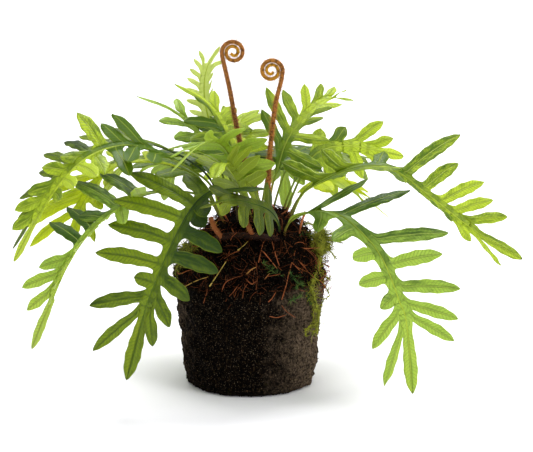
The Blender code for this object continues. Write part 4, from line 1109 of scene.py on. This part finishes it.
def piece(name, meshes, cad_node):
    """Meshes joined as one piece that stands for a CAD node and rides with it"""
    things = [linked(name, mesh) for mesh in meshes]
    whole = things[0]
    with bpy.context.temp_override(active_object=whole, object=whole, selected_objects=things,
                                   selected_editable_objects=things):
        bpy.ops.object.join()
    whole.name = name
    whole.data.name = name
    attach(whole, "root")
    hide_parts(cad_node)


def new_material(name, paint, *values):
    """A material whose surface is the shader that a function makes in its empty tree"""
    made = bpy.data.materials.new(name)
    made.use_nodes = True
    made.node_tree.nodes.clear()
    node(made.node_tree, "ShaderNodeOutputMaterial", {"Surface": paint(made.node_tree, *values)})
    return made


def fact(tree, name):
    """What a piece's own attribute says"""
    return node(tree, "ShaderNodeAttribute", attribute_name=name).outputs["Fac"]


def maths(tree, operation, first, second=0.5, third=0.5):
    """The outcome of one sum"""
    return node(tree, "ShaderNodeMath", {0: first, 1: second, 2: third}, operation=operation).outputs[0]


def times(tree, first, second, plus=0.0):
    """The product of two values, and something added to it"""
    return maths(tree, "MULTIPLY_ADD", first, second, plus)


def ramp(tree, value, low, high, start=0.0, end=1.0):
    """An eased step of a value"""
    return node(tree, "ShaderNodeMapRange",
                {"Value": value, "From Min": low, "From Max": high, "To Min": start, "To Max": end},
                interpolation_type="SMOOTHSTEP").outputs[0]


def mixed(tree, share, first, second):
    """Two colours mixed"""
    mix = node(tree, "ShaderNodeMix", {0: share}, data_type="RGBA")
    for number, value in ((6, first), (7, second)):
        if isinstance(value, bpy.types.NodeSocket):
            tree.links.new(value, mix.inputs[number])
        else:
            mix.inputs[number].default_value = (*value, 1.0)
    return mix.outputs[2]


def layered(tree, colour, *layers):
    """A colour with others laid over it, each by its own share"""
    for share, over in layers:
        colour = mixed(tree, share, colour, over)
    return colour


def grain(tree, scale, detail=4.0, roughness=0.6):
    """Noise on the piece's own place"""
    place = node(tree, "ShaderNodeTexCoord").outputs["Object"]
    return node(tree, "ShaderNodeTexNoise", {"Vector": place, "Scale": scale, "Detail": detail,
                                             "Roughness": roughness}).outputs["Fac"]


def surface(tree, colour, roughness, height=None, strength=0.3, distance=0.0005, specular=0.5):
    """A Principled shader with a bump"""
    shader = node(tree, "ShaderNodeBsdfPrincipled", {"Base Color": colour, "Roughness": roughness,
                                                     "Specular IOR Level": specular})
    if height is not None:
        bump = node(tree, "ShaderNodeBump", {"Height": height, "Strength": strength, "Distance": distance})
        tree.links.new(bump.outputs[0], shader.inputs["Normal"])
    return shader.outputs[0]


def streaks(tree, across, along):
    """Noise drawn out along a lobe"""
    place = node(tree, "ShaderNodeCombineXYZ", {"X": times(tree, across, 2.6), "Y": times(tree, along, 0.09),
                                                "Z": times(tree, fact(tree, "tone"), 37.0)})
    return node(tree, "ShaderNodeTexNoise", {"Vector": place.outputs[0], "Scale": 1.0, "Detail": 3.0,
                                             "Roughness": 0.6}).outputs["Fac"]


def leaf_tissue(tree, shade, light, glow, vein, crown_shading, through, gloss):
    """Leaf tissue: darker at the crown, partly as painted shade, ribs, slanting side veins, painted light and
    shade on the lobes, and light that comes through
    """
    signed, along = fact(tree, "across"), fact(tree, "along")
    across = maths(tree, "ABSOLUTE", signed)
    patches, speckle = grain(tree, 38.0, 3.0), grain(tree, 900.0, 2.0)
    age = times(tree, fact(tree, "tone"), 0.7, times(tree, patches, 0.4, -0.1))
    # Darker towards the crown and lighter at the end: partly the fronds' own colour, partly painted shade
    # near the crown
    crown_shade = ramp(tree, fact(tree, "growth"), 0.4, 0.8, 0.1 - 0.6 * crown_shading, 0.1 + 0.5 * crown_shading)
    age = maths(tree, "ADD", age, crown_shade)
    # Painted light and shade: one half of each lobe a little lighter than the other
    age = times(tree, ramp(tree, signed, -0.25, 0.25, -1.0, 1.0), 0.08, age)
    age = times(tree, ramp(tree, along, 3.0, 10.0),
                ramp(tree, streaks(tree, signed, along), 0.3, 0.7, -0.25, 0.25), age)
    slant = times(tree, across, -4.5, along)
    side_veins = ramp(tree, maths(tree, "ABSOLUTE", maths(tree, "SINE", slant)), 0.0, 0.5, 1.0, 0.0)
    midrib = times(tree, ramp(tree, across, 0.02, 0.09, 1.0, 0.0), ramp(tree, along, 2.0, 8.0, 0.2))
    colour = layered(tree, shade,
                     (ramp(tree, age, 0.0, 0.9), light),
                     # painted light that comes through the brightest parts
                     (ramp(tree, age, 0.85, 1.5, 0.0, 0.7), glow),
                     (times(tree, side_veins, 0.42), shade),
                     (ramp(tree, speckle, 0.35, 0.7, 0.0, 0.2), shade),
                     # painted shade in the crease along the midrib
                     (ramp(tree, across, 0.06, 0.3, 0.45, 0.0), shade),
                     (times(tree, midrib, 0.6), vein),
                     (ramp(tree, fact(tree, "edge"), 0.86, 1.0, 0.0, 0.4), glow),
                     # the underside lighter: partly its own colour, partly painted backlight
                     (times(tree, fact(tree, "under"), 0.3), glow))
    height = times(tree, side_veins, -0.7, times(tree, speckle, 0.3))
    height = times(tree, midrib, -0.8, height)
    rough = times(tree, patches, 0.25, 0.25)
    front = surface(tree, colour, rough, height, 0.6, 0.0008, gloss)
    behind = node(tree, "ShaderNodeBsdfTranslucent", {"Color": mixed(tree, 0.6, colour, glow)}).outputs[0]
    return node(tree, "ShaderNodeMixShader", {0: through, 1: front, 2: behind}).outputs[0]


def wiry_stalk(tree, foot, middle, end):
    """A wiry stalk, brown at its foot and green further out"""
    growth = times(tree, grain(tree, 60.0), 0.12, fact(tree, "growth"))
    fine = grain(tree, 700.0, 2.0)
    colour = layered(tree, foot,
                     (ramp(tree, growth, 0.06, 0.28), middle),
                     (ramp(tree, growth, 0.4, 0.8), end),
                     (ramp(tree, fine, 0.45, 0.8, 0.0, 0.3), middle))
    return surface(tree, colour, 0.5, fine, 0.25, 0.0004, 0.1)


def crumbly_peat(tree, dark, light, painted_light_share):
    """Nearly black crumbly peat with brown grains, made paler on its right and at its left edge by painted
    light
    """
    coarse, fine = grain(tree, 45.0, 5.0, 0.6), grain(tree, 420.0, 6.0, 0.8)
    place = node(tree, "ShaderNodeTexCoord").outputs["Object"]
    x, _, z = node(tree, "ShaderNodeSeparateXYZ", {0: place}).outputs
    patches = times(tree, grain(tree, 110.0, 4.0, 0.7), 0.05, times(tree, coarse, 0.04))
    x, z = maths(tree, "ADD", x, patches), maths(tree, "ADD", z, patches)
    # Painted light: paler on the right and at the left edge, in patches, and less of it up on the mound
    painted_light_mask = maths(tree, "ADD", ramp(tree, x, 0.055, 0.105), ramp(tree, x, -0.022, -0.004, 0.5, 0.0))
    painted_light_mask = times(tree, painted_light_mask, ramp(tree, z, 0.13, 0.155, 1.0, 0.35))
    pale = mixed(tree, ramp(tree, fine, 0.40, 0.60), PAINTED_LIGHT_DARK, PAINTED_LIGHT_BRIGHT)
    colour = layered(tree, dark,
                     (ramp(tree, fine, 0.5, 0.68), light),
                     (times(tree, painted_light_mask, painted_light_share), pale),
                     (ramp(tree, grain(tree, 1100.0, 1.0, 0.4), 0.64, 0.74, 0.0, 0.6), FLECK_COLOUR),
                     (ramp(tree, fact(tree, "tone"), 0.85, 1.0, 0.0, 0.6), CRUMB_COLOUR))
    height = times(tree, fine, 0.9, coarse)
    return surface(tree, colour, 0.9, height, 1.0, 0.002, 0.03)


def mixed_threads(tree, dark, light, bright, specular, patch_scale, patch_share, first):
    """Roots, hair or moss whose strands differ from each other, a few of them bright"""
    tone = fact(tree, "tone")
    colour = layered(tree, dark,
                     (ramp(tree, tone, first, 0.95), light),
                     (ramp(tree, tone, 1.0, 1.4), bright),
                     (ramp(tree, grain(tree, patch_scale, 3.0), 0.4, 0.7, 0.0, patch_share), dark))
    return surface(tree, colour, 0.7, grain(tree, 1500.0, 2.0), 0.3, 0.0003, specular)


def ring_surface(name, profile, columns, rows, lean, noises, rough, tone):
    """A closed lump turned from a profile, with noise pushed into it between two heights"""
    knots = np.array(profile, float)
    steps = distances_along(knots)
    radii, levels = (np.interp(np.linspace(0.0, steps[-1], rows), steps, knots[:, axis]) for axis in (0, 1))
    points = [(lean(levels[0]), 0.0, levels[0])]
    for radius, level in zip(radii[1:-1], levels[1:-1]):
        for angle in turns(columns):
            out = Vector((math.cos(angle), math.sin(angle), 0.0))
            place = Vector((radius * out.x + lean(level), radius * out.y, level))
            if rough[0] < level < rough[1]:
                for amount, size in noises:
                    place = place + out * amount * noise.noise(place / size + Vector((SEED, 0.0, 0.0)))
            points.append(tuple(place))
    last = len(points)
    points.append((lean(levels[-1]), 0.0, levels[-1]))
    faces = []
    for column in range(columns):
        next_column = (column + 1) % columns
        faces.append((0, 1 + column, 1 + next_column))
        for low in range(1, 1 + (rows - 3) * columns, columns):
            high = low + columns
            faces.append((low + column, high + column, high + next_column, low + next_column))
        low = 1 + (rows - 3) * columns
        faces.append((low + column, last, low + next_column))
    return make_mesh(name, points, [], faces, {"tone": np.full(len(points), tone)})


def make_fronds(materials):
    """Every frond: its blade on both sides of a round rib"""
    found = bent_lobes()
    for number, frond in enumerate(FRONDS):
        draw = random.Random(SEED + number)
        path = Path(frond.route)
        meshes = [blade_side(frond, path, found, side, draw) for side in (1, -1)]
        for mesh in meshes:
            mesh.materials.append(materials[frond.green + "_leaf"])
        marks = stations(frond, path)
        distances = np.linspace(0.0, path.length - 3.0, max(8, int(path.length / STEM_STEP)))
        thickness = np.interp(distances, [0.0, marks[0], marks[-1], path.length], STEM_THICKNESS)
        stalk = materials["dark_stalk" if frond.green in ("deep", "olive") else "light_stalk"]
        line = (path.at(distances), thickness, distances / path.length)
        meshes.append(tubes([line], STEM_SIDES, stalk, "growth"))
        piece(frond.name + "_frond", meshes, "frond_" + frond.name)


def block_profile():
    """Outline of the peat block from the middle of its top to the middle of its foot"""
    top = BLOCK_HEIGHT
    return [(0.0, top), (BLOCK_TOP_RADIUS - BLOCK_ROUNDING, top),
            (BLOCK_TOP_RADIUS - 0.25 * BLOCK_ROUNDING, top - 0.4 * BLOCK_ROUNDING),
            (BLOCK_TOP_RADIUS, top - BLOCK_ROUNDING), (BLOCK_FOOT_RADIUS, BLOCK_ROUNDING),
            (BLOCK_FOOT_RADIUS - 0.3 * BLOCK_ROUNDING, 0.35 * BLOCK_ROUNDING),
            (BLOCK_FOOT_RADIUS - BLOCK_ROUNDING, 0.0), (0.0, 0.0)]


def make_root_ball(materials):
    """The peat block with its crumbs, and the mound with its threads"""
    peat, root = materials["peat"], materials["roots"]
    block = ring_surface("block", block_profile(), BLOCK_COLUMNS, BLOCK_ROWS, lambda height: 0.0,
                         BLOCK_NOISES, (0.1, BLOCK_HEIGHT - 0.1), 0.3)
    block.materials.append(peat)
    grains = grown(block.copy(), CRUMBS, {"Density": CRUMB_DENSITY, "Size": CRUMB_SIZE * MM,
                                          "Seed": CRUMB_SEED, "Material": peat})
    for vertex in grains.vertices:
        vertex.co.z = max(vertex.co.z, 0.0)
    profile = [(radius * swell - MOUND_SINK, height - MOUND_SINK)
               for (radius, height), swell in zip(mound_profile(), MOUND_SWELL)]
    profile[0] = (0.0, profile[0][1])
    mound = ring_surface("mound", profile, MOUND_COLUMNS, MOUND_ROWS, mound_lean, MOUND_NOISES,
                         (BLOCK_HEIGHT + 1.0, math.inf), 0.0)
    mound.materials.append(materials["root_soil"])
    ground = search_tree(block, mound)
    bare_mound = search_tree(mound)
    lines = drawn(lambda draw: root_thread(draw, bare_mound), ROOT_THREADS, SEED)
    lines += drawn(hanging_thread, HANGING_THREADS, SEED + 1)
    lines += drawn(crown_thread, CROWN_THREADS, SEED + 2) + drawn(edge_root, EDGE_ROOTS, SEED + 3)
    lines += [(laid_line(ground, places, thick + ROOT_LIFT, CROWN_PLANE), thick, tone)
              for thick, tone, places in FRONT_ROOTS]
    threads = tubes([(line, thick * np.linspace(1.0, ROOT_TAPER, len(line)), tone)
                     for line, thick, tone in lines], THREAD_SIDES, root)
    piece("peat_body", [block, grains], "peat_block")
    piece("root_mat", [mound, threads, tufted(mound, ROOT_FUZZ, root)], "root_mound")
    return ground


def search_tree(*meshes):
    """Meshes as one tree for rays, in millimetres"""
    points = []
    faces = []
    for mesh in meshes:
        start = len(points)
        points.extend(tuple(vertex.co / MM) for vertex in mesh.vertices)
        faces.extend(tuple(start + index for index in polygon.vertices) for polygon in mesh.polygons)
    return BVHTree.FromPolygons(points, faces)


def camera_eye():
    """Where the camera stands, and the direction from the target back to it"""
    tilt = math.radians(CAMERA_HEIGHT_ANGLE)
    back = Vector((0.0, -math.cos(tilt), math.sin(tilt)))
    return Vector(CAMERA_TARGET) + back * CAMERA_DISTANCE, back


def laid_line(ground, places, lift, plane):
    """A line through places seen on the front plane, laid on the root ball, or on a plane beside it"""
    eye = camera_eye()[0]
    knots = []
    for x, z in places:
        way = (Vector((x, FRONT_PLANE, z)) - eye).normalized()
        hit = ground.ray_cast(eye, way)[0]
        if hit is None:
            hit = eye + way * (plane - eye.y) / way.y
        knots.append(np.array(hit - way * lift))
    path = Path(knots)
    return path.at(np.linspace(0.0, path.length, THREAD_POINTS))


def drawn(maker, count, seed):
    """Lines that one after another are made with random draws"""
    draw = random.Random(seed)
    return [line for line in (maker(draw) for _ in range(count)) if line]


def round_middle(bearing, radius, level):
    """The point at a bearing, that far from the upright axis"""
    return np.array([radius * math.cos(bearing), radius * math.sin(bearing), level])


def hanging_thread(draw):
    """A loose root that hangs over the rim of the block"""
    bearing = draw.uniform(0.0, math.tau)
    reach = HANGING_REACH * draw.random() ** 2
    sway = draw.uniform(-HANGING_SWAY, HANGING_SWAY)
    line = []
    for share in np.arange(HANGING_STEPS + 1) / HANGING_STEPS:
        level = BLOCK_HEIGHT + HANGING_START - (HANGING_START + reach) * share
        radius = HANGING_RADIUS + HANGING_BULGE * smooth(0.0, 0.4, share)
        radius -= 0.1 * max(0.0, BLOCK_HEIGHT - level)
        radius += draw.uniform(-0.6, 0.9)
        line.append(round_middle(bearing + sway * share + draw.uniform(-0.012, 0.012), radius, level))
    return np.array(line), draw.choice(HANGING_THICKNESSES), 0.9 * draw.random() ** 4


def crown_thread(draw):
    """A short root that stands up among the stalks"""
    bearing = draw.uniform(0.0, math.tau)
    radius = CROWN_RADIUS * math.sqrt(draw.random())
    foot = round_middle(bearing, radius, BLOCK_HEIGHT + MOUND_HEIGHT - 6.0 - 0.009 * radius ** 2)
    foot[0] += MOUND_LEAN
    way = unit(np.array([draw.gauss(0.0, 0.5), draw.gauss(0.0, 0.5), 1.0]))
    side = unit(np.cross(way, [draw.gauss(0.0, 1.0), draw.gauss(0.0, 1.0), 0.3]))
    reach = draw.uniform(*CROWN_LENGTHS)
    bow = draw.uniform(*CROWN_BOWS)
    shares = np.linspace(0.0, 1.0, 8)[:, None]
    line = foot + shares * reach * way + bow * shares ** 2 * side - [0.0, 0.0, CROWN_SAG] * shares ** 3
    return line, draw.choice(SHORT_THREAD_THICKNESSES), 1.1 * draw.random() ** 2


def edge_root(draw):
    """A curled root that bulges out at the right of the mound, past the block"""
    bearing = draw.uniform(*EDGE_BEARINGS)
    level = draw.uniform(*EDGE_LEVELS)
    radius = EDGE_RADIUS - 0.3 * abs(level - BLOCK_HEIGHT) + draw.uniform(*EDGE_RADIUS_SPREAD)
    middle = round_middle(bearing, radius, level)
    first = unit(np.array([draw.gauss(0.0, 1.0) for _ in range(3)]))
    second = unit(np.cross(first, [draw.gauss(0.0, 1.0) for _ in range(3)]))
    bends = draw.uniform(0.0, math.tau) + np.linspace(0.0, draw.uniform(*EDGE_TURNS), THREAD_POINTS)
    curl = draw.uniform(*EDGE_CURLS) + np.linspace(0.0, draw.uniform(*EDGE_OPENINGS), THREAD_POINTS)
    line = middle + curl[:, None] * (np.cos(bends)[:, None] * first + np.sin(bends)[:, None] * second)
    return line, draw.choice(SHORT_THREAD_THICKNESSES), draw.uniform(0.2, 1.0)


def root_thread(draw, tree):
    """A wiry root that wanders over the mound and dips in and out of it"""
    middle = Vector((MOUND_LEAN * 0.5, 0.0, BLOCK_HEIGHT + 5.0))
    bearing = draw.uniform(0.0, math.tau)
    rise = draw.uniform(*THREAD_RISES)
    heading = draw.uniform(0.0, math.tau)
    thick = draw.choice(THREAD_THICKNESSES)
    step = draw.uniform(*THREAD_STEPS)
    bend = draw.choice(THREAD_BENDS)
    bow = draw.choice(THREAD_BOWS)
    wave = draw.uniform(0.0, math.tau)
    lowest, highest = THREAD_RISE_LIMITS
    line = []
    for number in range(THREAD_POINTS):
        out = Vector((math.cos(bearing) * math.cos(rise), math.sin(bearing) * math.cos(rise), math.sin(rise)))
        hit = tree.ray_cast(middle + out * 200.0, -out)[0]
        if hit is None:
            break
        lift = bow * math.sin(wave + THREAD_WAVE * number) + THREAD_LIFT
        line.append(np.array(hit) + lift * np.array(out))
        heading += draw.uniform(-bend, bend)
        bearing += step * math.cos(heading) / max(math.cos(rise), 0.25)
        rise += step * math.sin(heading)
        if not lowest < rise < highest:
            heading = -heading
            rise = min(max(rise, lowest), highest)
    return (np.array(line), thick, 1.1 * draw.random() ** 6) if len(line) > 4 else None


def make_croziers(materials):
    """The two rolled young fronds with their fur"""
    for crozier in CROZIERS:
        places, radii = crozier_points(crozier)
        path = Path(places)
        distances = np.linspace(0.0, path.length, CROZIER_ROWS)
        steps = distances_along(places)
        thickness = np.interp(distances * steps[-1] / path.length, steps, radii) - FUR_ROOM
        thickness[-1] *= COIL_END
        tone = np.interp(distances, [0.0, 0.55 * path.length, path.length], CROZIER_TONES[crozier.name])
        tube = tubes([(path.at(distances), thickness, tone)], CROZIER_SIDES, materials["young_skin"])
        piece("furry_" + crozier.name, [tube, tufted(tube, FUR, materials["fur"])], crozier.name)


def make_rhizome(materials):
    """The creeping stem and its old stubs, under brown scales"""
    lines = []
    for places, radius, tone in ((RHIZOME_RUN, RHIZOME_RADIUS, RHIZOME_TONE),
                                 *((stub, STUB_RADIUS, STUB_TONE) for stub in RHIZOME_STUBS)):
        path = Path(places)
        distances = np.linspace(0.0, path.length, RHIZOME_ROWS)
        thickness = radius * (RHIZOME_SHARE + RHIZOME_RING * np.sin(distances * RHIZOME_RING_TURN))
        thickness[[0, -1]] *= RHIZOME_END
        lines.append((path.at(distances), thickness, tone))
    tube = tubes(lines, RHIZOME_SIDES, materials["bark"])
    piece("scaly_rhizome", [tube, tufted(tube, SCALES, materials["roots"])], "rhizome")


def part_above(mesh, level, above):
    """The faces of a mesh above a level, or below it"""
    part = mesh.copy()
    cage = bmesh.new()
    cage.from_mesh(part)
    gone = [face for face in cage.faces if (face.calc_center_median().z > level) != above]
    bmesh.ops.delete(cage, geom=gone, context="FACES")
    cage.to_mesh(part)
    cage.free()
    return part


def loose_moss(ground, materials):
    """The loose leafy strands that lie at the right front of the mound"""
    meshes = []
    for shade, strands in MOSS_STRANDS.items():
        stalks = tubes([(laid_line(ground, places, STRAND_LIFT, MOSS_PLANE), STRAND_RADIUS, STRAND_TONE)
                        for places in strands], THREAD_SIDES, materials[shade])
        meshes += [stalks, tufted(stalks, STRAND_LEAVES, materials[shade])]
    return meshes


def make_moss(ground, materials):
    """The moss cushions and the hanging sprig, as loose leafy strands"""
    for moss in MOSS:
        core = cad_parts[moss.name].data.copy()
        core.materials.clear()
        core.materials.append(materials["moss"])
        cage = bmesh.new()
        cage.from_mesh(core)
        bmesh.ops.remove_doubles(cage, verts=cage.verts, dist=1e-6)
        cage.normal_update()
        middle = Vector(moss.centre) * MM
        for vertex in cage.verts:
            if (vertex.co - middle).length < MOSS_CORE * MM:
                vertex.co = middle + (vertex.co - middle) * MOSS_SHRINK
        cage.to_mesh(core)
        cage.free()
        set_fact(core, "tone", np.full(len(core.vertices), moss.tone))
        meshes = [core]
        for above, tuft in ((True, CUSHION_TOP), (False, CUSHION_FOOT)):
            meshes.append(tufted(part_above(core, SPRIG_LEVEL * MM, above), tuft._replace(seed=moss.seed),
                                 materials["moss"]))
        if moss.name == "moss_right":
            meshes += loose_moss(ground, materials)
        piece(moss.name + "_cushion", meshes, moss.name)


def make_studio():
    """Pale floor, soft light and the camera at the photo's angle"""
    scene = bpy.context.scene
    mesh = bpy.data.meshes.new("floor")
    mesh.from_pydata([(x * FLOOR_REACH, y * FLOOR_REACH, 0) for x, y in ((-1, -1), (1, -1), (1, 1), (-1, 1))],
                     [], [(0, 1, 2, 3)])
    mesh.materials.append(new_material("floor", lambda tree: surface(tree, FLOOR_COLOUR, 0.75, specular=0.1)))
    floor = linked("floor", mesh)
    scene.world = bpy.data.worlds.new("studio")
    scene.world.use_nodes = True
    sky = scene.world.node_tree.nodes["Background"].inputs
    sky[0].default_value = (1.0, 1.0, 1.0, 1.0)
    sky[1].default_value = AMBIENT
    for name, place, power, softness in LAMPS:
        lamp = bpy.data.lights.new(name, "SUN")
        lamp.energy = power
        lamp.angle = math.radians(softness)
        thing = linked(name, lamp)
        thing.location = place
        thing.rotation_euler = Vector(place).to_track_quat("Z", "Y").to_euler()
    camera = bpy.data.cameras.new("camera")
    camera.sensor_width = SENSOR_WIDTH
    camera.lens = FOCAL_PIXELS * SENSOR_WIDTH / PHOTO_WIDTH
    camera.clip_start = 0.05
    camera.clip_end = 100.0
    eye = linked("camera", camera)
    place, back = camera_eye()
    eye.location = place * MM
    eye.rotation_euler = (-back).to_track_quat("-Z", "Y").to_euler()
    scene.camera = eye
    scene.view_settings.view_transform = "Standard"


def main():
    """Dress the whole plant"""
    materials = {name: new_material(name, paint, *values)
                 for paint, table in ((leaf_tissue, LEAVES), (wiry_stalk, STALKS), (crumbly_peat, PEATS),
                                      (mixed_threads, THREADS))
                 for name, values in table.items()}
    ground = make_root_ball(materials)
    make_rhizome(materials)
    make_croziers(materials)
    make_moss(ground, materials)
    make_fronds(materials)
    make_studio()


STEMS, TUFTS, CRUMBS = stem_tree(), tuft_tree(), crumb_tree()
main()
